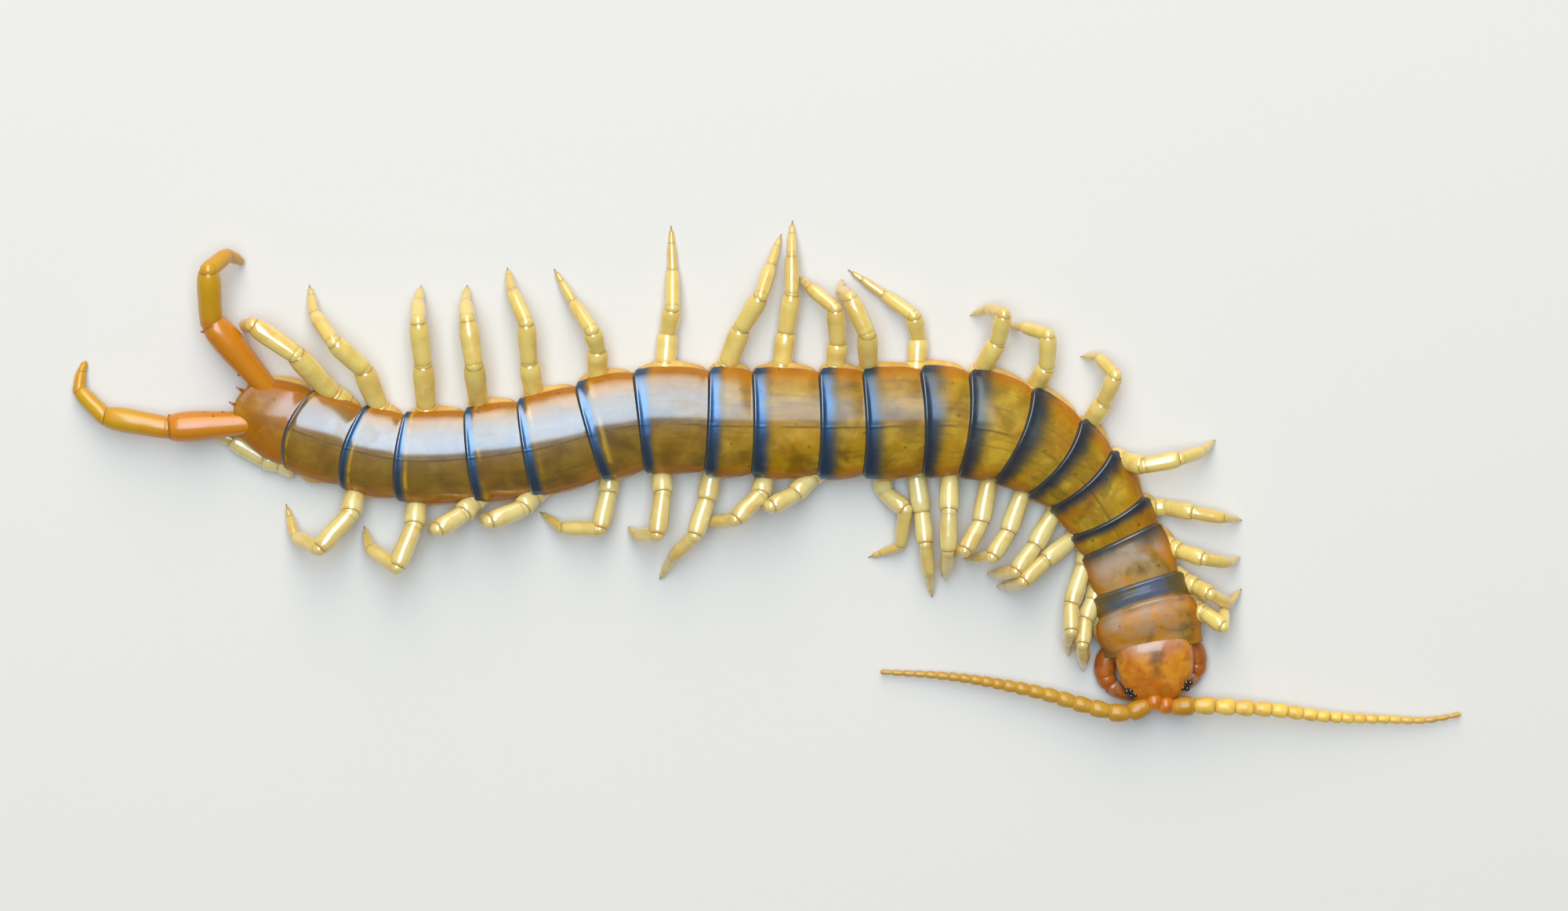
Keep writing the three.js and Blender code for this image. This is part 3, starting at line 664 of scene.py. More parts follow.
class Shaper(Net):
    """A Geometry Nodes tree with named inputs, which ends in Realize Instances and Set Material"""

    def __init__(self, name, **inputs):
        super().__init__(bpy.data.node_groups.new(name, "GeometryNodeTree"))
        self.tree.interface.new_socket(name="Geometry", in_out="INPUT", socket_type="NodeSocketGeometry")
        for label, kind in {**inputs, "Finish": "Material"}.items():
            name = label.replace("_", " ")
            self.tree.interface.new_socket(name=name, in_out="INPUT", socket_type="NodeSocket" + kind)
        self.tree.interface.new_socket(name="Geometry", in_out="OUTPUT", socket_type="NodeSocketGeometry")
        self.entry = self.tree.nodes.new("NodeGroupInput")

    def given(self, name):
        return Term(self, self.entry.outputs[name])

    def held(self, name):
        return self.node("GeometryNodeInputNamedAttribute", {"data_type": "FLOAT_VECTOR"}, {"Name": name},
                         "Attribute")

    def vectors(self, operation, values):
        return self.node("ShaderNodeVectorMath", {"operation": operation}, values)

    def facing(self, aim):
        """A turn that brings x along an aim and keeps z as high as it can"""
        return self.node("FunctionNodeAxesToRotation", {"primary_axis": "X", "secondary_axis": "Z"},
                         {0: aim, 1: (0, 0, 1)})

    def along(self, mode, **at):
        """Places on the input curve, at a length or at a share of it"""
        return self.node("GeometryNodeSampleCurve", {"mode": mode}, {"Curves": self.lines_of("Line"), **at},
                         "Position")

    def lines_of(self, name):
        return self.node("GeometryNodeObjectInfo", {}, {"Object": self.given(name)}, "Geometry")

    def end(self, geometry):
        real = self.node("GeometryNodeRealizeInstances", {}, {"Geometry": geometry})
        even = self.node("GeometryNodeSetShadeSmooth", {}, {"Geometry": real})
        painted = self.node("GeometryNodeSetMaterial", {},
                            {"Geometry": even, "Material": self.given("Finish")})
        leave = self.tree.nodes.new("NodeGroupOutput")
        self.tree.links.new(painted.socket, leave.inputs[0])
        return self.tree


def body_following_tree():
    """Bends a straight body, with x along it, y to the left and z up, along the body line"""
    net = Shaper("follow_body_line", Line="Object", Lead="Float")
    ahead, left, up = net.parts(net.node("GeometryNodeInputPosition", {}, {}))
    sample = net.along("LENGTH", Length=ahead + net.given("Lead"))
    to_left = net.vectors("CROSS_PRODUCT", {0: net.again(sample, "Tangent"), 1: (0, 0, 1)})
    across = net.vectors("ADD", {0: sample, 1: net.vectors("SCALE", {0: to_left, "Scale": left})})
    place = net.vectors("ADD", {0: across, 1: net.vector(0, 0, up)})
    bent = net.node("GeometryNodeSetPosition", {}, {"Geometry": net.given("Geometry"), "Position": place})
    return net.end(bent)


def placing_tree():
    """Sets a shape on each point, its x along the point's aim, at the point's size"""
    net = Shaper("set_on_points", Shape="Object")
    return net.end(net.node("GeometryNodeInstanceOnPoints", {},
                            {"Points": net.given("Geometry"), "Instance": net.lines_of("Shape"),
                             "Rotation": net.facing(net.held("aim")), "Scale": net.held("size")}))


def feeler_tree():
    """Threads articles on a line, shorter at first and thinner all the way to the tip"""
    net = Shaper("articles_on_line", Line="Object", Article="Object", Articles="Int", First_length="Float",
                 Last_length="Float", Shortening="Int", Root_radius="Float", Tip_radius="Float")
    index = net.node("GeometryNodeInputIndex", {}, {})
    points = net.node("GeometryNodeMeshLine", {}, {"Count": net.given("Articles")})
    share = (index / net.given("Shortening")).math("MINIMUM", 1.0)
    length = net.given("First length") + (net.given("Last length") - net.given("First length")) * share
    reached = net.node("GeometryNodeAccumulateField", {"data_type": "FLOAT"}, {"Value": length}, "Leading")
    whole = net.again(reached, "Total")
    at = (reached - length * 0.5) / whole
    sample = net.along("FACTOR", Factor=at)
    thin = (index / (net.given("Articles") - 1)) ** 0.8
    radius = net.given("Root radius") + (net.given("Tip radius") - net.given("Root radius")) * thin
    numbered = net.node("GeometryNodeStoreNamedAttribute", {"data_type": "FLOAT", "domain": "POINT"},
                        {"Geometry": points, "Name": "article", "Value": index})
    moved = net.node("GeometryNodeSetPosition", {}, {"Geometry": numbered, "Position": sample})
    return net.end(net.node("GeometryNodeInstanceOnPoints", {},
                            {"Points": moved, "Instance": net.lines_of("Article"),
                             "Rotation": net.facing(net.again(sample, "Tangent")),
                             "Scale": net.vector(length, radius, radius)}))


def shaped(made, tree, **inputs):
    """Runs a tree on an object and keeps the result as its plain mesh"""
    modifier = made.modifiers.new("shape", "NODES")
    modifier.node_group = tree
    sockets = {item.name: item.identifier for item in tree.interface.items_tree if item.in_out == "INPUT"}
    for label, value in inputs.items():
        modifier[sockets[label.replace("_", " ")]] = value
    graph = bpy.context.evaluated_depsgraph_get()
    mesh = bpy.data.meshes.new_from_object(
        made.evaluated_get(graph), preserve_all_data_layers=True, depsgraph=graph)
    mesh.name = made.name
    made.modifiers.clear()
    old, made.data = made.data, mesh
    bpy.data.meshes.remove(old)
    return made


def curve_object(name, points):
    """A hidden guide line for a tree to read"""
    curve = bpy.data.curves.new(name, "CURVE")
    curve.dimensions = "3D"
    spline = curve.splines.new("POLY")
    spline.points.add(len(points) - 1)
    spline.points.foreach_set("co", np.column_stack([points * MM, np.ones(len(points))]).ravel())
    return linked(name, curve)


def drop(*objects):
    for made in objects:
        data = made.data
        bpy.data.objects.remove(made)
        (bpy.data.curves if isinstance(data, bpy.types.Curve) else bpy.data.meshes).remove(data)


def along_body(made, finish):
    """Bends a piece that is built straight along the body line"""
    first, last = body_line.points[0], body_line.points[-1]
    lead_in = first - body_line.heading(0.0) * LINE_LEAD
    lead_out = last + body_line.heading(body_line.length) * LINE_LEAD
    points = np.vstack([lead_in, body_line.points, lead_out])
    guide = curve_object("body_line", np.column_stack([points, np.zeros(len(points))]))
    shaped(made, body_following_tree(), Line=guide, Lead=LINE_LEAD * MM, Finish=finish)
    drop(guide)
    return made


def set_on_points(name, slot, shape, places, aims, sizes, finish):
    """One piece of a shape set at each place. The shape's own object is used up.

    The aims and sizes are one for each place, or one for all.
    """
    mesh = bpy.data.meshes.new(name)
    mesh.from_pydata(np.array(places, float) * MM, [], [])
    for label, rows in (("aim", aims), ("size", np.array(sizes) * MM)):
        layer = mesh.attributes.new(label, "FLOAT_VECTOR", "POINT")
        layer.data.foreach_set("vector", np.broadcast_to(rows, (len(places), 3)).astype(np.float32).ravel())
    made = shaped(linked(name, mesh), placing_tree(), Shape=shape, Finish=finish)
    drop(shape)
    finished(made, slot)


def finished(made, slot, *nodes):
    """A piece that is part of the object: hung under the root, with the solids it stands for hidden. Its slot
    is not used.
    """
    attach(made, "root")
    if nodes:
        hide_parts(*nodes)


def trunk_node(segment):
    first = segment - (segment - 1) % 3
    return f"trunk_{first}_{first + 2}"


# Materials

def back_finish(colours):
    m = Finish("back_shell", Specular_IOR_Level=0.22, Coat_Roughness=0.12, Coat_IOR=1.9)
    across, rear, segment = m.mark("across"), m.mark("rear"), m.mark("segment")
    out = abs(across)
    patch = m.noise(170, 2, 0.5, 0.9)
    cloud = m.noise(420, 3, 0.5, 0.4)
    streaks = m.noise(1.0, 4, 0.55, over=m.vector(across * 16, rear * 0.12, segment * 3.7))
    fine = m.noise(1.0, 3, 0.6, over=m.vector(across * 70, rear * 0.5, segment * 1.9))
    m.colour = m.blend(m.rise(patch, 0.36, 0.6), colours.plate_dark, colours.plate)
    # Painted light: plates 5 to 8 are lightened towards the light clouds' colour, where more light falls on
    # them
    painted_sunlight = m.rise(segment, 4.0, 5.5) * m.fall(segment, 8.0, 11.0) * 0.25
    m.paint(m.rise(cloud, 0.38, 0.8) * 0.55 + painted_sunlight, colours.plate_light)
    m.paint(m.rise(streaks, 0.5, 0.75) * 0.4, colours.streak)
    front = m.fall(segment, 2.4, 4.2)
    tail = m.rise(segment, 19.6, 21.0)
    ruddy = m.noise(230, 3, 0.55, 0.7)
    warm = m.rise(ruddy, 0.42, 0.68) * (1 - m.rise(segment, 5.0, 9.0) * 0.6)
    m.paint(warm * 0.6, colours.plate_side)
    m.paint(front * m.rise(ruddy, 0.3, 0.6) * 0.75, colours.head_light)
    m.paint(tail * (0.55 + m.rise(out, 0.25, 0.6) * 0.4), colours.tail)
    murk = m.noise(310, 4, 0.6, 1.4)
    murk = m.rise(murk, 0.48, 0.74) * (1 - m.rise(segment, 5.0, 9.0) * 0.8)
    m.paint(murk * 0.55, colours.streak)
    # Painted shade: the plates from about the thirteenth on are darkened towards the tail
    m.paint(m.rise(segment, 12.0, 15.0) * (1 - tail) * 0.6, colours.shade)
    side = m.rise(out + (patch - 0.5) * 0.45, 0.42, 0.8)
    m.paint(side * 0.75, colours.plate_side)
    rim = m.rise(out, 0.93, 0.985) * m.rise(segment, 9.0, 13.0)
    m.paint(rim * 0.8, colours.rim)
    line = m.fall(out, 0.004, 0.02) * m.rise(cloud, 0.35, 0.6) * (1 - tail) * (1 - front)
    m.paint(line * 0.55, colours.streak)
    # Painted reflection: a greyish sheen over the first three plates, away from their sides
    painted_reflection = m.fall(segment, 3.2, 3.9) * m.rise(cloud * 0.7 + patch, 0.62, 1.06)
    painted_reflection = painted_reflection * (0.8 + m.rise(segment, 1.2, 1.8) * 0.2)
    painted_reflection = painted_reflection * m.fall(out, 0.4, 0.85) * (1 - m.rise(rear, 2.2, 4.5) * 0.6)
    m.paint(painted_reflection * 0.85, colours.reflection_grey)
    corner = m.fall(segment, 1.4, 1.6) * m.rise(rear, 2.9, 3.7) * m.rise(out, 0.3, 0.6)
    m.paint(corner * m.rise(patch, 0.4, 0.6) * 0.7, colours.streak)
    wave = m.noise(1.0, over=m.vector(across * 3.5, segment * 2.1, rear * 0.2)) - 0.5
    ahead = (rear + wave * m.mark("fade") * 0.9 - m.mark("band")) / m.mark("fade")
    dark = m.mark("dark")
    pale = m.rise(ahead, 0.7, 1.2) * m.fall(ahead, 1.3, 2.2) * m.rise(segment, 13.5, 15.5) * (1 - tail)
    m.paint(pale * m.rise(wave, -0.1, 0.15) * 0.5, colours.plate_light)
    m.paint(m.fall(ahead, 0.1, 1.25) * dark * 0.75, colours.band_edge)
    teal = m.blend(m.rise(cloud, 0.4, 0.7), colours.band, colours.band_teal)
    blue = m.rise(segment, 8.5, 12.5)
    teal = m.blend(blue, teal, colours.band_blue)
    edge = m.fall(rear, 0.28, 0.52)
    neck = m.rise(segment, 1.5, 1.9) * m.fall(segment, 2.1, 2.5)
    # Partly painted reflection: the second plate's band turns blue-grey in patches, its own tint with a
    # painted bluish sheen over it
    collar_sheen_patches = m.rise(cloud, 0.25, 0.6) * m.fall(out + (ruddy - 0.5) * 0.3, 0.35, 0.65)
    teal = m.blend(neck, teal, m.blend(collar_sheen_patches, colours.band_edge, colours.collar))
    band = m.fall(ahead, -0.3, 0.75) * dark * (1 - neck * m.rise(out, 0.4, 0.8) * 0.5)
    m.paint(band, teal)
    pits = m.fall(m.cells(520), 0.05, 0.14)
    worn = 1 - m.rise(fine, 0.55, 0.9) * 0.3 - m.rise(cloud, 0.5, 0.75) * 0.3
    narrow = 0.36 * m.fall(segment, 11.5, 14.0)
    gloss = m.mark("sheen") * (1 - m.rise(out + narrow, 0.58, 0.8) * 0.88)
    gloss = gloss * (1 - tail * m.fall(rear, 3.2, 4.8) * 0.9)
    height = patch * 4 + ruddy * 1.2 + streaks * 0.3 + fine * 0.12 - pits * 0.4 - line * 0.8
    m.paint(pits * 0.5, colours.streak)
    return m.wear(Roughness=0.3 + cloud * 0.12,
                  Metallic=band * (1 - neck) * (0.5 + blue * 0.4),
                  Coat_Weight=(gloss + (0.2 - gloss * 0.55 + edge * 0.5 - neck * 0.1) * band) * worn,
                  Normal=m.bump(height, 0.06, 0.6))


def skin_finish(colours):
    m = Finish("joint_skin", Specular_IOR_Level=0.35, Subsurface_Weight=0.12, Subsurface_Scale=0.0006,
               Coat_Roughness=0.25)
    up, share = m.mark("up"), m.mark("share")
    cloud = m.noise(420, 4, 0.6)
    grain = m.cells(2300)
    m.colour = m.blend(m.rise(cloud, 0.3, 0.7), colours.skin, colours.skin_light)
    m.paint(m.fall(share * (1 - share), 0.0, 0.1) * 0.7, colours.plate_dark)
    m.paint(m.rise(up, 0.52, 0.6) * 0.4, colours.plate_side)
    return m.wear(Roughness=0.42 + cloud * 0.15, Normal=m.bump(cloud * 0.6 + grain * 0.25, 0.12, 0.8))


def belly_finish(colours):
    m = Finish("belly_shell", Specular_IOR_Level=0.5, Coat_Weight=0.6, Coat_Roughness=0.2)
    across, rear, segment = m.mark("across"), m.mark("rear"), m.mark("segment")
    cloud = m.noise(300, 4, 0.6)
    fine = m.noise(1.0, 4, 0.6, over=m.vector(across * 30, rear * 2.0, segment))
    m.colour = m.blend(m.rise(cloud, 0.3, 0.7), colours.belly, colours.skin_light)
    groove = m.fall(abs(abs(across) - 0.36), 0.0, 0.035)
    edge = m.fall(rear, 0.0, 0.7)
    m.paint(groove * 0.5 + edge * 0.35, colours.plate_dark)
    m.paint(fine * 0.3, colours.plate_side)
    return m.wear(Roughness=0.3 + fine * 0.12, Normal=m.bump(fine * 0.3 - groove, 0.08, 0.6))


def limb_finish(name, colours, body, joint, far, scale, turning=(0.3, 3.5), shine=1.0):
    """Waxy shell of a limb, warmer at its joints. Over its articles the colour turns to the far one."""
    m = Finish(name, Specular_IOR_Level=0.4, Subsurface_Weight=0.15, Subsurface_Scale=0.0005,
               Coat_Roughness=0.16, Coat_IOR=1.9)
    share, article = m.mark("share"), m.mark("article")
    cloud = m.noise(scale, 4, 0.55, 0.6)
    fine = m.noise(scale * 9, 2, 0.5)
    m.colour = m.blend(m.rise(article + share * 0.5, *turning), body, far)
    m.paint(m.rise(cloud, 0.42, 0.7) * 0.45, joint)
    warm = m.rise(abs(share - 0.5), 0.36, 0.52)
    m.paint(warm * 0.6, joint)
    ring = m.rise(share, 0.96, 0.985) * m.fall(share, 1.0, 1.015)
    m.paint(ring * 0.55, colours.joint_line)
    m.paint(m.rise(article + share, 4.5, 5.0) * 0.8, colours.leg_tip)
    return m.wear(Roughness=0.28 + fine * 0.16, Coat_Weight=(0.75 + cloud * 0.5) * shine,
                  Normal=m.bump(cloud * 0.7 + fine * 0.25 - ring * 0.5, 0.08, 0.6))


def head_finish(name, colours, body, light, dark_tip=False):
    """Shell of the head: clouded, with a dark smudge along its middle and darker sides"""
    m = Finish(name, Specular_IOR_Level=0.5, Coat_Roughness=0.1, Coat_IOR=1.6)
    share, out = m.mark("share"), abs(m.mark("across"))
    cloud = m.noise(380, 4, 0.6, 0.5)
    fine = m.noise(2600, 3, 0.6)
    m.colour = m.blend(m.rise(cloud, 0.35, 0.7), body, light)
    murk = m.noise(520, 4, 0.65, 1.2)
    m.paint(m.rise(murk, 0.5, 0.72) * 0.5, colours.head_dark)
    # Painted reflection: a greyish sheen over the rear of the head
    painted_reflection = m.fall(share, 0.08, 0.34) * m.fall(out, 0.3, 0.8) * m.rise(cloud, 0.25, 0.55)
    m.paint(painted_reflection * 0.6, colours.reflection_grey)
    smudge = m.fall(out + (cloud - 0.5) * 0.3, 0.0, 0.17)
    smudge = smudge * m.rise(share, 0.1, 0.25) * m.fall(share, 0.45, 0.7)
    m.paint(smudge * 0.65, colours.streak)
    m.paint(m.rise(out, 0.78, 0.98) * 0.6, colours.head_dark)
    if dark_tip:
        m.paint(m.rise(share, 0.35, 0.8), colours.claw)
    pits = m.fall(m.cells(1500), 0.06, 0.2)
    return m.wear(Roughness=0.28 + fine * 0.14, Coat_Weight=0.18 + cloud * 0.3,
                  Normal=m.bump(cloud * 0.5 + fine * 0.2 - pits * 0.5, 0.06, 0.5))


def feeler_finish(name, root, colours):
    m = Finish(name, Specular_IOR_Level=0.3, Subsurface_Weight=0.1, Subsurface_Scale=0.0004,
               Coat_Roughness=0.12)
    share, article = m.mark("share"), m.mark("article")
    fine = m.noise(5200, 3, 0.6)
    cloud = m.noise(700, 3)
    m.colour = m.blend(m.rise(article, 0.0, 1.6), colours.feeler_root, root)
    m.paint(m.rise(article, 10.0, 19.0) * 0.8, colours.feeler_tip)
    m.paint(m.rise(abs(share - 0.5), 0.38, 0.48) * 0.5, colours.feeler_ring)
    m.paint(m.rise(cloud, 0.4, 0.7) * 0.35, colours.plate_side)
    return m.wear(Roughness=0.3 + fine * 0.2, Coat_Weight=0.3 + cloud * 0.3,
                  Normal=m.bump(fine, 0.03, 0.7))


def horn_finish(name, dark, light):
    """Dark glossy horn, lighter at its root: claws, spines, teeth and eyes"""
    m = Finish(name, Specular_IOR_Level=0.6, Coat_Weight=0.8, Coat_Roughness=0.08)
    grain = m.noise(4000, 3)
    root = m.fall(m.mark("share") + (grain - 0.5) * 0.2, 0.1, 0.7)
    m.colour = m.blend(root, dark, light)
    return m.wear(Roughness=0.18 + grain * 0.15, Normal=m.bump(grain, 0.02, 0.4))


def floor_finish(colours):
    m = Finish("studio_floor", Specular_IOR_Level=0.3)
    grain = m.noise(900, 3)
    m.colour = m.blend(grain * 0.06, colours.floor, (0.5, 0.5, 0.5))
    return m.wear(Roughness=0.75 + grain * 0.1)


# Body

def neck_drop(segment, share):
    """How far the first segment comes down towards the head"""
    return np.where(np.asarray(segment) == 1, NECK_DROP * np.clip(1 - share, 0, 1.3) ** 2, 0)


def plate_sheet(segment, sizes):
    """The outer face of one back plate in the straight body, from its hidden front to its rear edge"""
    length = BACK_PLATE_LENGTHS[segment - 1]
    start = plate_starts[segment - 1]
    whole = length + (FIRST_TUCK if segment == 1 else PLATE_TUCK)
    back = np.concatenate([np.linspace(whole, 1.1, sizes.plate_rows), NEAR_REAR])
    theta = np.radians(np.linspace(-PLATE_FOLD, PLATE_FOLD, sizes.plate_columns))
    back, theta = np.meshgrid(back, theta, indexing="ij")
    angle = np.abs(np.degrees(theta))
    share = 1 - back / length
    width, taper, high = body_form(segment, share)
    half = 0.5 * width * smooth(PLATE_WIDE, share) * taper
    top = high - smooth(PLATE_DROP, share) * PLATE_STEP - neck_drop(segment, share)
    out = signed_power(np.sin(theta), ARCH_POWER)
    up = MARGIN_UP + (1 - MARGIN_UP) * signed_power(np.cos(theta), ARCH_POWER)
    crown = straight(CROWN, segment) * np.sin(np.pi * np.clip(share, 0, 1))
    roll = ROLL_DROP * np.clip(1 - back / ROLL_LENGTH, 0, 1) ** 2
    lip = sizes.rear_lip * (hump(back, 0.3, 0.3) - 1.6 * hump(back, 0.0, 0.11))
    bead = BEAD_HEIGHT * hump(angle, BEAD_ANGLE, 5)
    left = half * out + np.sign(out) * (bead + (lip - 0.4 * roll) * np.abs(out))
    middle = 1 - np.clip(np.abs(out), 0, 1) ** 2
    corner = np.clip((angle - CORNER_ANGLE) / (PLATE_FOLD - CORNER_ANGLE), 0, 1) ** 2
    rounding = sizes.corner_round * (2.0 if segment == 1 else 1.0)
    bow_rear = straight(REAR_BOW, segment) * middle - rounding * corner
    bow_front = straight(REAR_BOW, segment - 1) * middle if segment > 1 else 0
    bow = mix(bow_front, bow_rear, np.clip(1 - back / whole, 0, 1))
    high = top * up + (crown + lip) * np.clip(np.cos(theta), 0, 1) - roll
    grid = np.stack([start + length - back + bow, left, high], -1)
    marks = {
        "across": np.degrees(theta) / 90, "rear": back, "segment": segment,
        "band": straight(BAND_WIDTH, segment), "fade": straight(BAND_FADE, segment),
        "dark": straight(BAND_STRENGTH, segment), "sheen": straight(SHEEN, segment),
    }
    return grid, marks


def skin_outline():
    """Closed outline of the soft body, evenly spaced: (share of half width, share of height)"""
    half = Line([(out, up) for out, up in SKIN_SECTION], 20)
    right = half.at(np.linspace(0, half.length, SKIN_ROUND // 2 + 1))
    left = right[-2:0:-1] * (-1, 1)
    return np.vstack([right, left])


def trunk_skin_rings():
    """Rings of the soft body in the straight body, with a lobe on each flank and a bulge at each leg root"""
    out, up = skin_outline().T
    share = np.tile(np.linspace(0, 1, SKIN_RINGS_EACH, endpoint=False), SEGMENTS)[:, None]
    segment = np.repeat(np.arange(1, SEGMENTS + 1), SKIN_RINGS_EACH)[:, None]
    length = np.array(BACK_PLATE_LENGTHS)[segment - 1]
    width, taper, high = body_form(segment, share)
    roots = np.array([[row[0] for row in legs] + [0.5] for legs in (LEFT_LEGS, RIGHT_LEGS)])
    left_root, right_root = np.minimum(roots, 0.9)[:, segment - 1]
    from_root = (share - np.where(out > 0, left_root, right_root)) * length
    flank = hump(up, 0.36, 0.16) * (np.abs(out) > 0.7)
    bulge = ROOT_BULGE * (segment < SEGMENTS) * hump(from_root, 0, 1.3) * hump(up, LEG_ROOT_HEIGHT, 0.16)
    swell = flank * (FLANK_LOBE * np.sin(np.pi * share) ** 0.7 - FLANK_SINK) + bulge * flank
    pinch = SKIN_PINCH * (hump(share, 0.0, 0.06) + hump(share, 1.0, 0.06)) * (up > 0.06)
    left = out * (0.5 * width * taper) + np.sign(out) * (swell - pinch)
    height = up * (high - 1.3 * neck_drop(segment, share)) - pinch * (up > 0.5)
    x = plate_starts[segment - 1] + share * length
    x, share, up = [np.broadcast_to(value, left.shape) for value in (x, share, up)]
    return np.stack([x, left, height], -1), {"share": share, "up": up}


def closed_ends(rings, marks):
    """Rounds off both ends of the soft body with rings that shrink to their middles"""
    turns = np.linspace(0, 1, 7)[1:-1]
    ahead, behind = [], []
    for turn in turns:
        shrink = math.sqrt(1 - turn**2)
        for pile, ring, reach in ((ahead, rings[0], -SKIN_ENDS[0]), (behind, rings[-1], SKIN_ENDS[1])):
            middle = ring.mean(0)
            pile.append(middle + (ring - middle) * (1, shrink, shrink) + (reach * turn, 0, 0))
    joined = np.concatenate([np.array(ahead[::-1]), rings, np.array(behind)])
    spread = {}
    for name, value in marks.items():
        before, after = [np.repeat(value[i:i + 1], len(turns), 0) for i in (0, len(value) - 1)]
        spread[name] = np.concatenate([before, value, after])
    return joined, spread


def belly_sheet(segment):
    """One belly plate in the straight body: a shallow tray with rounded corners"""
    length = BACK_PLATE_LENGTHS[segment - 1]
    start = plate_starts[segment - 1]
    t = np.linspace(0.02, 0.99, 18)
    u = np.linspace(-1, 1, 25)
    t, u = np.meshgrid(t, u, indexing="ij")
    width, taper, _ = body_form(segment, t)
    corner = 1 - 0.3 * np.clip(np.abs(t - 0.5) * 2, 0, 1) ** 5
    half = 0.5 * (width * taper) * BELLY_WIDE * corner
    up = 0.02 + 0.24 * np.abs(u) ** 5 + 0.12 * np.clip((0.12 - t) / 0.12, 0, 1) + 0.05 * (1 - t)
    grid = np.stack([start + t * length, u * half, up], -1)
    return grid, {"across": u, "rear": (1 - t) * length, "segment": segment}


# Legs

def joints_from(root, pose, heights):
    """Joints of a limb from its root, by the bearing and the reach of each article and the joints' heights"""
    joints = [np.array([root[0], root[1], heights[0]])]
    for i in range(0, len(pose), 2):
        turn, reach = math.radians(pose[i]), pose[i + 1]
        x, y = joints[-1][0] + math.cos(turn) * reach, joints[-1][1] + math.sin(turn) * reach
        joints.append(np.array([x, y, heights[len(joints)]]))
    return joints


def climb(length, reach):
    """How far an article climbs when only part of its length shows from above"""
    return math.sqrt(max(length**2 - reach**2, 0))


def walking_leg(segment, side, row):
    """Joints of a walking leg from its root in the body to its tip, the radii of its articles, and how much
    of its first article the body hides"""
    share, *pose = row
    highest = pose.pop() if len(pose) > 8 else HIGHEST_KNEE
    age = (segment - 1) / (SEGMENTS - 2)
    size = mix(*LEG_SIZES, age)
    width = float(body_width(segment))
    start = plate_starts[segment - 1] + share * BACK_PLATE_LENGTHS[segment - 1]
    root = body_point(start, side * LEG_ROOT_OUT * width * 0.5, 0)
    lowest_ankle, highest_ankle = ANKLE_HEIGHTS
    ankle = np.clip(climb(TARSUS_LENGTH * size, pose[7]), lowest_ankle, min(highest_ankle, highest))
    femur_end = ankle + climb(TIBIA_LENGTH * size, pose[5])
    femur_end = np.clip(femur_end, min(LOWEST_FEMUR_END, highest), highest)
    lowest = max(femur_end - KNEE_DROP, LOWEST_KNEE)
    knee = np.clip(femur_end - climb(FEMUR_LENGTH * size, pose[3]), lowest, femur_end)
    root_height = LEG_ROOT_HEIGHT * width * HEIGHT_PER_WIDTH
    foot = [pose[6], pose[7] * 0.6, pose[6], pose[7] * 0.4]
    heights = [root_height, knee, femur_end, ankle, 0.3 * ankle + 0.15, 0.12]
    joints = joints_from(root, [*pose[:6], *foot], heights)
    heading = body_line.heading(start)
    outward = side * np.array([heading[1], -heading[0], 0])
    reach = (joints[1] - joints[0]) @ outward
    hidden = np.clip((FLANK_OUT - LEG_ROOT_OUT) * width * 0.5 / max(reach, 0.1), 0.15, 0.6)
    return joints, np.array(LEG_RADII) * mix(*LEG_STOUTNESS, age) * LEG_FULLNESS, hidden


def add_limb(pile, joints, radii, root_radius, around=LIMB_ROUND):
    """Articles between joints, with a ball of joint skin in each socket"""
    ends = [JOINT_WAIST * mix(a, b, 0.5) for a, b in zip(radii, radii[1:])] + [TIP_RADIUS]
    bases = [root_radius] + [JOINT_SKIN * end for end in ends]
    for number, (start, end) in enumerate(zip(joints, joints[1:])):
        add_article(pile, start, end, (bases[number], radii[number], ends[number]), number, around)
    for number, joint in enumerate(joints[1:-1]):
        add_ball(pile, joint, ends[number] * JOINT_SKIN, share=0.5, article=number + 0.5)


def on_floor(pile):
    """Flattens what would reach below the floor onto it"""
    for points in pile.points:
        points[:, 2] = np.maximum(points[:, 2], 0.0)


def claw_shape():
    """A curved claw one unit long, from its root at the origin along x, bent down at its tip"""
    t = np.linspace(0, 1, 12)
    bend = 0.1 * np.sin(t * np.pi) - 0.16 * t**2
    return unit_shape("claw_shape", t, t, bend, 0.15 * (1 - t) ** 0.7 + 0.015)


def spine_shape():
    """A straight spine one unit long and one unit in radius at its root"""
    t = np.linspace(0, 1, 9)
    return unit_shape("spine_shape", t, t, 0 * t, (1 - t * 0.93) ** 0.8)


def feeler_article():
    """A barrel one unit long and one unit in radius, narrower where it joins its neighbours"""
    t = np.linspace(0, 1, 17)
    share = mix(t, 0.5 - 0.5 * np.cos(t * np.pi), 0.8)
    return unit_shape("feeler_article", share, share * 1.12 - 0.56, 0 * t, smooth(FEELER_BARREL, share), 24)


# Head

def head_matrix():
    heading = -body_line.heading(HEAD_LENGTH)
    turn = math.atan2(heading[1], heading[0]) + math.radians(HEAD_TURN)
    origin = body_point(HEAD_LENGTH, 0, 0)
    return Matrix.Translation(Vector(origin)) @ Matrix.Rotation(turn, 4, "Z")


HEAD_PLACE = np.array(head_matrix())


def from_head(points):
    """Points of the head's own frame in the frame of the body"""
    points = np.asarray(points, float)
    return points @ HEAD_PLACE[:3, :3].T + HEAD_PLACE[:3, 3]


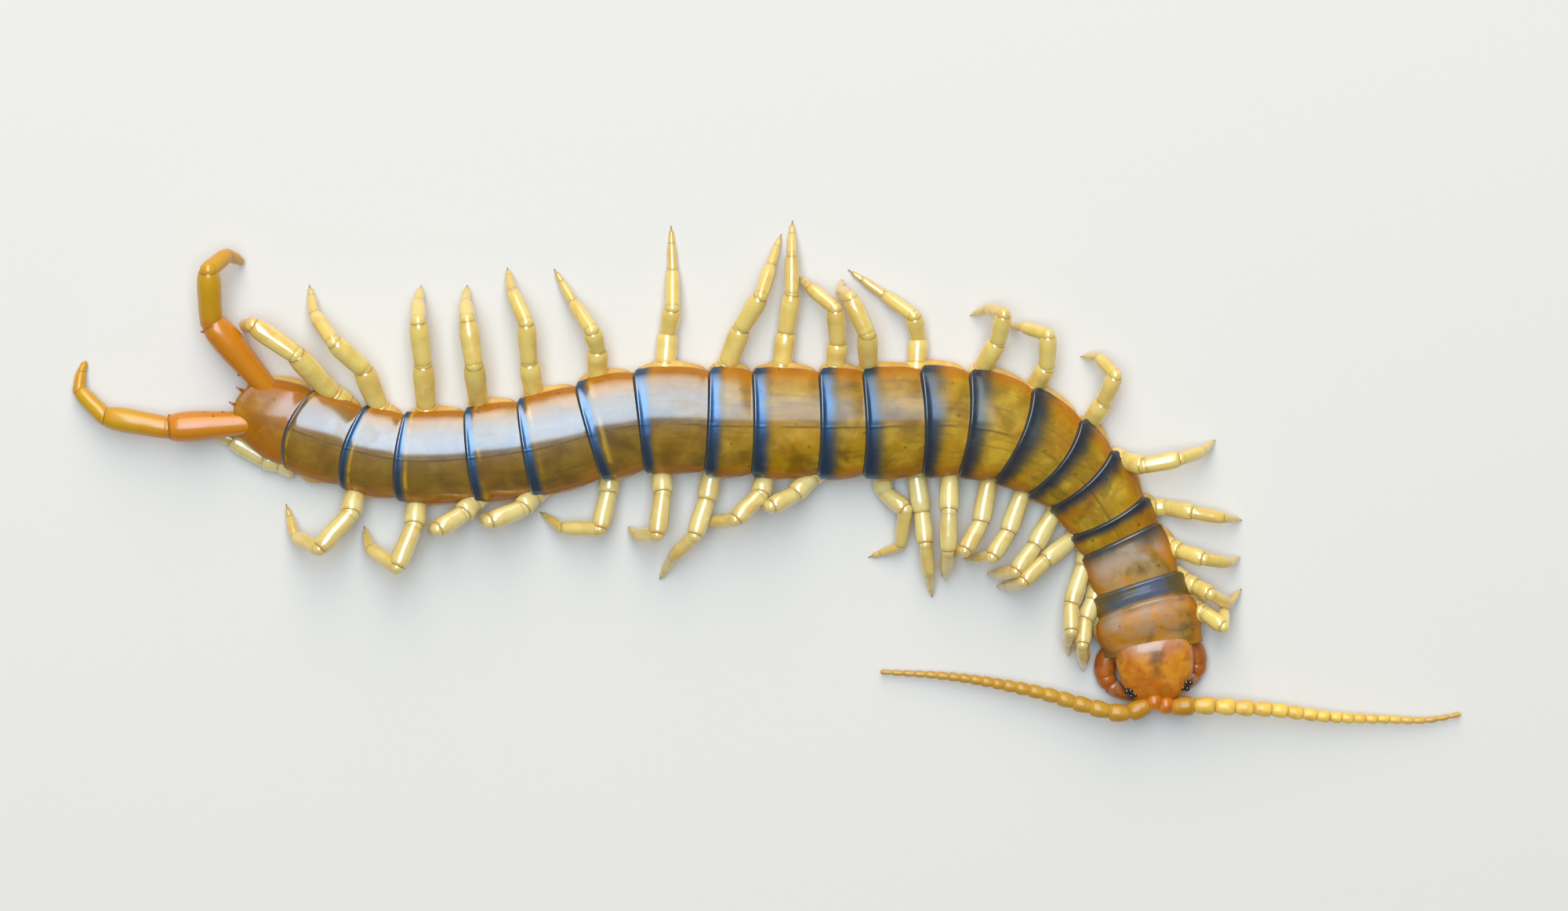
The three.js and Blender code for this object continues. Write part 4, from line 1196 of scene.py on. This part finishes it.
def head_shield_sheet():
    """The outer face of the head shield, from its rear edge forward"""
    rear, front = [0.0, 0.006, 0.015, 0.03], [0.95, 0.967, 0.98, 0.99, 1.0]
    t = np.concatenate([rear, np.linspace(0.05, 0.93, 34), front])
    angle = np.radians(np.linspace(-HEAD_SHIELD_FOLD, HEAD_SHIELD_FOLD, 61))
    t, angle = np.meshgrid(t, angle, indexing="ij")
    half = 0.5 * HEAD_WIDTH * smooth(HEAD_OUTLINE, t)
    out = signed_power(np.sin(angle), 0.92)
    crown = HEAD_TOP * smooth(HEAD_CROWN, t)
    rear_round = 0.25 * hump(t, 0, 0.02)
    up = HEAD_MARGIN + (crown - HEAD_MARGIN) * signed_power(np.cos(angle), 0.95)
    bead = 0.07 * hump(np.abs(np.degrees(angle)), 86, 6)
    furrow = 0.08 * hump(np.degrees(angle), 0, 3.5) * np.clip((t - 0.55) / 0.3, 0, 1)
    bow = 0.25 * (out**2) * (1 - np.clip(t * 8, 0, 1))
    x = t * HEAD_LENGTH - HEAD_SHIELD_BACK + bow
    grid = np.stack([x, half * out + np.sign(out) * bead, up - rear_round - furrow], -1)
    return from_head(grid), {"share": t, "across": np.degrees(angle) / 90}


def head_capsule_rings():
    """Rings of the head below its shield, from the neck forward"""
    rings = []
    turn = np.linspace(0, 2 * np.pi, CAPSULE_ROUND, endpoint=False)
    for forward, wide in CAPSULE_STATIONS:
        half = 0.5 * HEAD_WIDTH * wide
        crown = HEAD_TOP * smooth(HEAD_CROWN, forward / HEAD_LENGTH) - CAPSULE_SINK
        bottom = CAPSULE_BOTTOM * mix(1, 0.95, max(forward, 0) / HEAD_LENGTH)
        middle = mix(bottom, crown, 0.42)
        up = np.where(np.sin(turn) > 0, crown - middle, middle - bottom) * np.sin(turn)
        y = signed_power(np.cos(turn), 0.75) * half
        rings.append(np.stack([np.full(CAPSULE_ROUND, forward), y, middle + up], -1))
    return from_head(np.array(rings))


def fang_plate_rings():
    """Rings of the fang plate, from below the neck forward"""
    rings = []
    turn = np.linspace(0, 2 * np.pi, CAPSULE_ROUND, endpoint=False)
    for forward in np.linspace(-0.8, FANG_PLATE_LENGTH, 22):
        half = 0.5 * FANG_PLATE_WIDTH * smooth(FANG_PLATE_OUTLINE, forward)
        y = signed_power(np.cos(turn), 0.6) * half
        z = FANG_PLATE_MIDDLE + signed_power(np.sin(turn), 0.7) * FANG_PLATE_HALF_HEIGHT
        rings.append(np.stack([np.full(CAPSULE_ROUND, forward), y, z], -1))
    return from_head(np.array(rings))


def fang_rings(side, share):
    """Rings of a fang from one share of its path to another, with dips at its joints"""
    line = Line([(x, side * y + FANG_SHIFT, FANG_HEIGHT) for x, y in FANG_PATH], 30)
    radii = smooth(list(zip(np.linspace(0, 1, len(FANG_RADII)), FANG_RADII)), share)
    dips = 0.16 * hump(share, FANG_SPLIT, 0.02) + 0.08 * hump(share, 0.4, 0.015)
    radii = np.maximum(radii * (1 - dips), 0.05)
    return from_head(rings_along(line.at(share * line.length), radii, FANG_ROUND, 0.94))


# Properties: what a user would change

def size(name, description, value, least=0.0):
    """A size in millimetres"""
    return FloatProperty(name=name, description=description + ", in millimetres", default=value, min=least)


def amount(name, description, value, least):
    return IntProperty(name=name, description=description, default=value, min=least)


def colour(name, description, value):
    return FloatVectorProperty(
        name=name, description=description, subtype="COLOR", default=srgb(*value), min=0, max=1)


class CentipedeSizes(bpy.types.PropertyGroup):
    plate_thickness: size("Plate thickness", "Thickness of a back plate", 0.2, 0.05)
    rear_lip: size("Rear lip", "How far the rear edge of a back plate stands up", 0.13)
    corner_round: size("Corner rounding", "How far the rear corners are rounded off", 0.7)
    plate_rows: amount("Plate rows", "Rows of faces along a back plate ahead of its rear edge", 22, 4)
    plate_columns: amount("Plate columns", "Points across a back plate", 73, 9)
    spine_count: amount("End leg spines", "Spines on the inner side of each end leg", END_LEG_SPINES, 2)


class CentipedeColours(bpy.types.PropertyGroup):
    plate: colour("Plate", "Olive brown of the back plates", (158, 118, 4))
    plate_dark: colour("Plate, dark", "Darker clouds of the back plates", (116, 84, 4))
    # Lighter clouds of the shell, also laid as painted light over plates 5 to 8
    plate_light: colour("Plate, light", "Lighter clouds of the back plates", (206, 168, 52))
    plate_side: colour("Plate sides", "Orange brown towards the sides of the back plates", (174, 104, 12))
    rim: colour("Rim", "Pale side rims of the back plates", (222, 176, 96))
    streak: colour("Streaks", "Thin dark streaks and pits", (70, 52, 24))
    # Painted reflection: the greyish sheen laid on the first plates and the rear of the head
    reflection_grey: colour("Haze", "Greyish film on the first plates and the rear of the head", (168, 152, 138))
    band: colour("Band", "Blue-black rear bands", (32, 50, 68))
    band_edge: colour("Band edge", "Dark olive where a band fades out", (78, 70, 30))
    # Partly painted reflection: the band's own blue-grey with a painted bluish sheen
    collar: colour("Collar", "Blue-grey middle of the second plate", (66, 80, 106))
    band_teal: colour("Band, teal", "Teal tinge in the rear bands", (36, 62, 74))
    band_blue: colour("Band, blue", "Bluer metallic sheen of the bands towards the tail", (54, 84, 116))
    # Painted shade, laid over the plates towards the tail
    shade: colour("Plate, shade", "Darker brown of the plates towards the tail", (72, 48, 4))
    skin: colour("Skin", "Skin of the flanks", (200, 150, 64))
    skin_light: colour("Skin, light", "Paler skin and belly", (222, 184, 104))
    belly: colour("Belly", "Belly plates", (198, 150, 66))
    leg: colour("Left leg", "Waxy yellow of the left walking legs", (234, 206, 112))
    # Painted light: the right legs take a paler copy of the leg yellow
    leg_right: colour("Right leg", "Paler yellow of the right walking legs", (220, 202, 130))
    leg_joint: colour("Leg joints", "Golden tinge at the leg joints", (204, 150, 48))
    leg_far: colour("Foot", "Duller yellow of the feet", (218, 188, 100))
    leg_tip: colour("Leg tips", "Tan of the leg tips", (176, 132, 66))
    joint_line: colour("Joint line", "Thin dark line at a joint", (110, 72, 28))
    end_leg: colour("End leg", "Reddish orange of the end legs at their roots", (200, 122, 6))
    end_leg_far: colour("End leg, outer", "Mustard yellow of the end legs further out", (198, 150, 16))
    tail: colour("Tail", "Orange of the last back plate", (168, 96, 6))
    head: colour("Head", "Reddish orange of the head", (186, 100, 8))
    head_light: colour("Head, light", "Lighter clouds on the head", (212, 138, 28))
    head_dark: colour("Head, dark", "Darker edges of the head plates", (128, 56, 12))
    fang: colour("Fang", "Reddish brown of the fangs", (158, 80, 10))
    fang_light: colour("Fang, light", "Lighter clouds on the fangs", (180, 98, 16))
    feeler: colour("Left feeler", "Golden yellow of the left feeler", (236, 194, 84))
    # Painted shade: the right feeler takes a darker copy of the feeler gold
    feeler_right: colour("Right feeler", "Darker gold of the right feeler", (190, 144, 40))
    feeler_root: colour("Feeler root", "Orange brown of the feelers at their roots", (184, 130, 26))
    feeler_tip: colour("Feeler, tip", "Duller yellow of the feeler tips", (190, 148, 66))
    feeler_ring: colour("Feeler rings", "Paler rings at the joints of the feelers", (216, 176, 76))
    spine_tip: colour("Spine tips", "Brown of the spine tips", (150, 74, 10))
    claw: colour("Claw", "Brown of the claws and the points of the fangs", (74, 44, 20))
    eye: colour("Eye", "Black of the eyes", (8, 8, 10))
    floor: colour("Floor", "Pale studio floor", (220, 214, 203))


# Operators: one for each piece or group of like pieces

class BuildBackPlates(bpy.types.Operator):
    """Builds the 21 back plates, in seven groups of three"""
    bl_idname = "centipede.back_plates"
    bl_label = "Back plates"

    def execute(self, context):
        sizes, colours = context.scene.centipede_sizes, context.scene.centipede_colours
        finish = back_finish(colours)
        for first in range(1, SEGMENTS + 1, 3):
            pile = Pile()
            for segment in range(first, first + 3):
                grid, marks = plate_sheet(segment, sizes)
                add_shell(pile, grid, sizes.plate_thickness, (0, 0, -1), **marks)
            made = along_body(pile.piece(f"back_plates_{first}_{first + 2}", finish), finish)
            finished(made, "back_shell", trunk_node(first))
        return {"FINISHED"}


class BuildTrunkSkin(bpy.types.Operator):
    """Builds the soft body between and below the plates as one skin"""
    bl_idname = "centipede.trunk_skin"
    bl_label = "Trunk skin"

    def execute(self, context):
        finish = skin_finish(context.scene.centipede_colours)
        rings, marks = closed_ends(*trunk_skin_rings())
        pile = Pile()
        add_tube(pile, rings, **marks)
        made = along_body(pile.piece("trunk_skin", finish), finish)
        finished(made, "joint_skin", *[trunk_node(segment) for segment in range(1, SEGMENTS, 3)])
        return {"FINISHED"}


class BuildBellyPlates(bpy.types.Operator):
    """Builds the belly plates"""
    bl_idname = "centipede.belly_plates"
    bl_label = "Belly plates"

    def execute(self, context):
        finish = belly_finish(context.scene.centipede_colours)
        pile = Pile()
        for segment in range(1, SEGMENTS + 1):
            grid, marks = belly_sheet(segment)
            add_shell(pile, grid, BELLY_THICKNESS, (0, 0, 1), **marks)
        made = along_body(pile.piece("belly_plates", finish), finish)
        finished(made, "joint_skin")
        return {"FINISHED"}


class BuildWalkingLegs(bpy.types.Operator):
    """Builds the 20 pairs of walking legs and their claws"""
    bl_idname = "centipede.walking_legs"
    bl_label = "Walking legs"

    def execute(self, context):
        colours = context.scene.centipede_colours
        horn = horn_finish("claw", colours.claw, colours.leg_tip)
        # Painted light: the right legs are paler than the left ones, from how light falls on each side
        bodies = {"left": (LEFT_LEGS, colours.leg), "right": (RIGHT_LEGS, colours.leg_right)}
        for label, (poses, body) in bodies.items():
            finish = limb_finish(f"leg_shell_{label}", colours, body, colours.leg_joint, colours.leg_far, 330)
            tips, aims = [], []
            for number, pose in enumerate(poses, start=1):
                joints, radii, hidden = walking_leg(number, SIDES[label], pose)
                aim = unit(joints[-1] - joints[-2])
                joints[-1] = joints[-1] - aim * CLAW_LENGTH
                collar = mix(joints[0], joints[1], hidden)
                shoulder = mix(joints[0], joints[1], hidden + 0.06)
                pile = Pile()
                add_limb(pile, [shoulder, *joints[1:]], radii, radii[0] * ARTICLE_BASE)
                direction = unit(joints[1] - joints[0])
                start, end = [collar + direction * reach for reach in COLLAR_ENDS]
                add_article(pile, start, end, radii[0] * np.array(COLLAR_FULL), COLLAR_NUMBER)
                on_floor(pile)
                made = pile.piece(f"walking_leg_{label}_{number}", finish)
                finished(made, "leg_shell", f"leg_{label}_{number}")
                tips.append(joints[-1])
                aims.append(aim)
            set_on_points(f"claws_{label}", "claw", claw_shape(), tips, aims, CLAW_LENGTH, horn)
        return {"FINISHED"}


class BuildEndLegs(bpy.types.Operator):
    """Builds the end legs, their spines, and the points beside their roots"""
    bl_idname = "centipede.end_legs"
    bl_label = "End legs"

    def execute(self, context):
        colours = context.scene.centipede_colours
        count = context.scene.centipede_sizes.spine_count
        finish = limb_finish("end_leg_shell", colours, colours.end_leg, colours.end_leg, colours.end_leg_far,
                             240, (0.5, 1.5), 0.3)
        horn = horn_finish("spine", colours.spine_tip, colours.end_leg)
        places, aims, sizes = [], [], []
        for label, side in SIDES.items():
            leg = END_LEGS[label]
            root = body_point(REAR_END, 0, 0)[:2] + leg["root"]
            joints = joints_from(root, leg["pose"], leg["heights"])
            pile = Pile()
            add_limb(pile, joints, END_LEG_RADII, END_LEG_RADII[0] * END_LEG_ROOT, END_LEG_ROUND)
            on_floor(pile)
            finished(pile.piece(f"end_leg_{label}_shell", finish), "end_leg_shell", f"end_leg_{label}")
            thigh = unit(joints[1] - joints[0])
            inward = np.cross(thigh, (0, 0, 1)) * -side
            for i in range(count):
                lean = unit(inward + np.array([0, 0, 0.9 if i % 2 else 0.25]))
                share = SPINES_FROM + SPINES_SPREAD * i / (count - 1)
                places.append(mix(joints[0], joints[1], share) + lean * END_LEG_RADII[0] * 0.8)
                aims.append(unit(lean + thigh * 0.5))
                sizes.append((SPINE_LENGTH, SPINE_RADIUS, SPINE_RADIUS))
        for ends in TAIL_POINTS:
            start, end = [body_point(REAR_END + behind, left, up) for behind, left, up in ends]
            places.append(start)
            aims.append(unit(end - start))
            sizes.append((np.linalg.norm(end - start), TAIL_POINT_RADIUS, TAIL_POINT_RADIUS))
        set_on_points("end_leg_spines", "claw", spine_shape(), places, aims, sizes, horn)
        return {"FINISHED"}


class BuildHead(bpy.types.Operator):
    """Builds the head shield, the head below it with its lip and jaws, and the eyes"""
    bl_idname = "centipede.head"
    bl_label = "Head"

    def execute(self, context):
        colours = context.scene.centipede_colours
        finish = head_finish("head_shell", colours, colours.head, colours.head_light)
        shield = Pile()
        grid, marks = head_shield_sheet()
        add_shell(shield, grid, HEAD_SHIELD_THICKNESS, (0, 0, -1), **marks)
        finished(shield.piece("head_shield", finish), "head_shell", "head")
        under = Pile()
        add_tube(under, head_capsule_rings(), share=0.9, across=0.6)
        for *place, radius in MOUTH_BALLS:
            add_ball(under, from_head(place), radius, share=0.9, across=0.8)
        for points in FEELER_LINES.values():
            socket = np.array(points[0]) - unit(np.array(points[1]) - points[0]) * FEELER_RADII[0] * 0.6
            add_ball(under, socket + (0, 0.25, -0.1), FEELER_RADII[0] * 1.05, share=0.9, across=0.5)
        finished(under.piece("head_underside", finish), "head_shell", "head")
        black = horn_finish("eye", colours.eye, colours.eye)
        places, aims = [], []
        for side in SIDES.values():
            for x, y, z in EYE_PLACES:
                places.append(from_head((x, side * y, z)))
                aims.append(from_head((x + 0.4, side * (y + 1), z + 0.6)) - places[-1])
        ball = Pile()
        add_ball(ball, np.zeros(3), 1 / MM, share=1.0)
        lens = ball.piece("lens_shape", None)
        set_on_points("eyes", "eye", lens, places, unit(np.array(aims)), EYE_RADIUS, black)
        return {"FINISHED"}


class BuildFangs(bpy.types.Operator):
    """Builds the fang plate with its teeth, and the two fangs with their points"""
    bl_idname = "centipede.fangs"
    bl_label = "Fangs"

    def execute(self, context):
        colours = context.scene.centipede_colours
        finish = head_finish("fang_shell", colours, colours.fang, colours.fang_light)
        points = head_finish("fang_point", colours, colours.fang, colours.fang_light, True)
        pile = Pile()
        add_tube(pile, fang_plate_rings(), share=0.6, across=0.5)
        finished(pile.piece("fang_plate_shell", finish), "fang_shell", "fang_plate")
        places = [from_head((FANG_PLATE_LENGTH - 0.4, y, 1.1)) for y in TEETH]
        forward = from_head((1, 0, 0)) - from_head((0, 0, 0))
        horn = horn_finish("tooth", colours.claw, colours.head_dark)
        set_on_points("fang_plate_teeth", "claw", spine_shape(), places, forward, TOOTH_SIZE, horn)
        lengths = (("fang", 0.0, FANG_SPLIT + 0.03, finish), ("fang_point", FANG_SPLIT, 1.0, points))
        for label, side in SIDES.items():
            for name, low, high, skin in lengths:
                share = np.linspace(low, high, FANG_ROWS)
                pile = Pile()
                along = np.tile(((share - low) / (high - low))[:, None], FANG_ROUND)
                add_tube(pile, fang_rings(side, share), share=along, across=0.5)
                finished(pile.piece(f"{name}_{label}_shell", skin), "fang_shell", f"fang_{label}")
        return {"FINISHED"}


class BuildFeelers(bpy.types.Operator):
    """Threads the articles of the two feelers on their lines"""
    bl_idname = "centipede.feelers"
    bl_label = "Feelers"

    def execute(self, context):
        colours = context.scene.centipede_colours
        tree = feeler_tree()
        for label, points in FEELER_LINES.items():
            # Painted shade: the right feeler's darker gold stands in for shadow
            root = colours.feeler if label == "left" else colours.feeler_right
            finish = feeler_finish(f"feeler_shell_{label}", root, colours)
            guide = curve_object("feeler_line", Line(points).points)
            article = feeler_article()
            name = f"feeler_{label}_shell"
            made = linked(name, bpy.data.meshes.new(name))
            shaped(made, tree, Line=guide, Article=article, Articles=FEELER_ARTICLES,
                   First_length=FEELER_ARTICLE_LENGTHS[0] * MM, Last_length=FEELER_ARTICLE_LENGTHS[1] * MM,
                   Shortening=FEELER_SHORTENING, Root_radius=FEELER_RADII[0] * MM,
                   Tip_radius=FEELER_RADII[1] * MM, Finish=finish)
            drop(guide, article)
            finished(made, "feeler_shell", f"feeler_{label}")
        return {"FINISHED"}


class BuildStage(bpy.types.Operator):
    """Sets the floor, the lights and the camera"""
    bl_idname = "centipede.stage"
    bl_label = "Studio stage"

    def execute(self, context):
        scene = context.scene
        floor = bpy.data.meshes.new("studio_floor")
        corners = [(x * FLOOR_REACH, y * FLOOR_REACH, 0) for x, y in ((-1, -1), (1, -1), (1, 1), (-1, 1))]
        floor.from_pydata(corners, [], [(0, 1, 2, 3)])
        floor.materials.append(floor_finish(scene.centipede_colours))
        linked("studio_floor", floor)
        camera = bpy.data.cameras.new("camera")
        camera.sensor_width = SENSOR_WIDTH
        camera.lens = SENSOR_WIDTH * CAMERA_DISTANCE / PICTURE_WIDTH
        camera.clip_start, camera.clip_end = 0.01, 10
        lean = math.radians(CAMERA_LEAN)
        target = Vector(PICTURE_MIDDLE) * MM
        viewer = linked("camera", camera)
        viewer.location = target + Vector((0, math.sin(lean), math.cos(lean))) * CAMERA_DISTANCE * MM
        viewer.rotation_euler = (-lean, 0, 0)
        scene.camera = viewer
        for number in range(SKY_STRIPS):
            add_sky_strip(number)
        world = bpy.data.worlds.new("studio")
        world.use_nodes = True
        world.node_tree.nodes["Background"].inputs[0].default_value = (*WORLD_LIGHT, 1)
        scene.world = world
        scene.view_settings.view_transform = "Standard"
        return {"FINISHED"}


def add_sky_strip(number):
    """One strip of the sky window, faced towards the middle of the stage"""
    step = (SKY_LEANS[1] - SKY_LEANS[0]) / SKY_STRIPS
    lean = SKY_LEANS[0] + (number + 0.5) * step
    high = 2 * SKY_DISTANCE * math.tan(math.radians(step / 2))
    light = bpy.data.lights.new(f"sky_{number}", "AREA")
    light.shape = "RECTANGLE"
    light.size, light.size_y = SKY_WIDTH, high
    light.energy = float(straight(SKY_BRIGHTNESS, lean)) * math.pi * SKY_WIDTH * high
    light.color = [float(straight([(at, tint[i]) for at, tint in SKY_TINTS], lean)) for i in range(3)]
    lamp = linked(light.name, light)
    tilt = Matrix.Rotation(-math.radians(lean), 4, "X")
    shift, rise = Matrix.Translation((SKY_SHIFT, 0, 0)), Matrix.Translation((0, 0, SKY_DISTANCE))
    lamp.matrix_world = shift @ tilt @ rise


class CentipedePanel(bpy.types.Panel):
    """Lists the pieces of the centipede, and the sizes and colours that they take"""
    bl_idname = "VIEW3D_PT_centipede"
    bl_label = "Giant centipede"
    bl_space_type = "VIEW_3D"
    bl_region_type = "UI"
    bl_category = "Centipede"

    def draw(self, context):
        for operator in OPERATORS:
            self.layout.operator(operator.bl_idname)
        for group in (context.scene.centipede_sizes, context.scene.centipede_colours):
            box = self.layout.box()
            for name in group.__annotations__:
                box.prop(group, name)


OPERATORS = (BuildBackPlates, BuildTrunkSkin, BuildBellyPlates, BuildWalkingLegs, BuildEndLegs, BuildHead,
             BuildFangs, BuildFeelers, BuildStage)
CLASSES = (CentipedeSizes, CentipedeColours, *OPERATORS, CentipedePanel)


def register():
    for kind in CLASSES:
        bpy.utils.register_class(kind)
    bpy.types.Scene.centipede_sizes = PointerProperty(type=CentipedeSizes)
    bpy.types.Scene.centipede_colours = PointerProperty(type=CentipedeColours)


def unregister():
    del bpy.types.Scene.centipede_sizes
    del bpy.types.Scene.centipede_colours
    for kind in reversed(CLASSES):
        bpy.utils.unregister_class(kind)


def main():
    register()
    for operator in OPERATORS:
        getattr(bpy.ops.centipede, operator.bl_idname.split(".")[1])()


if __name__ == "__main__":
    main()
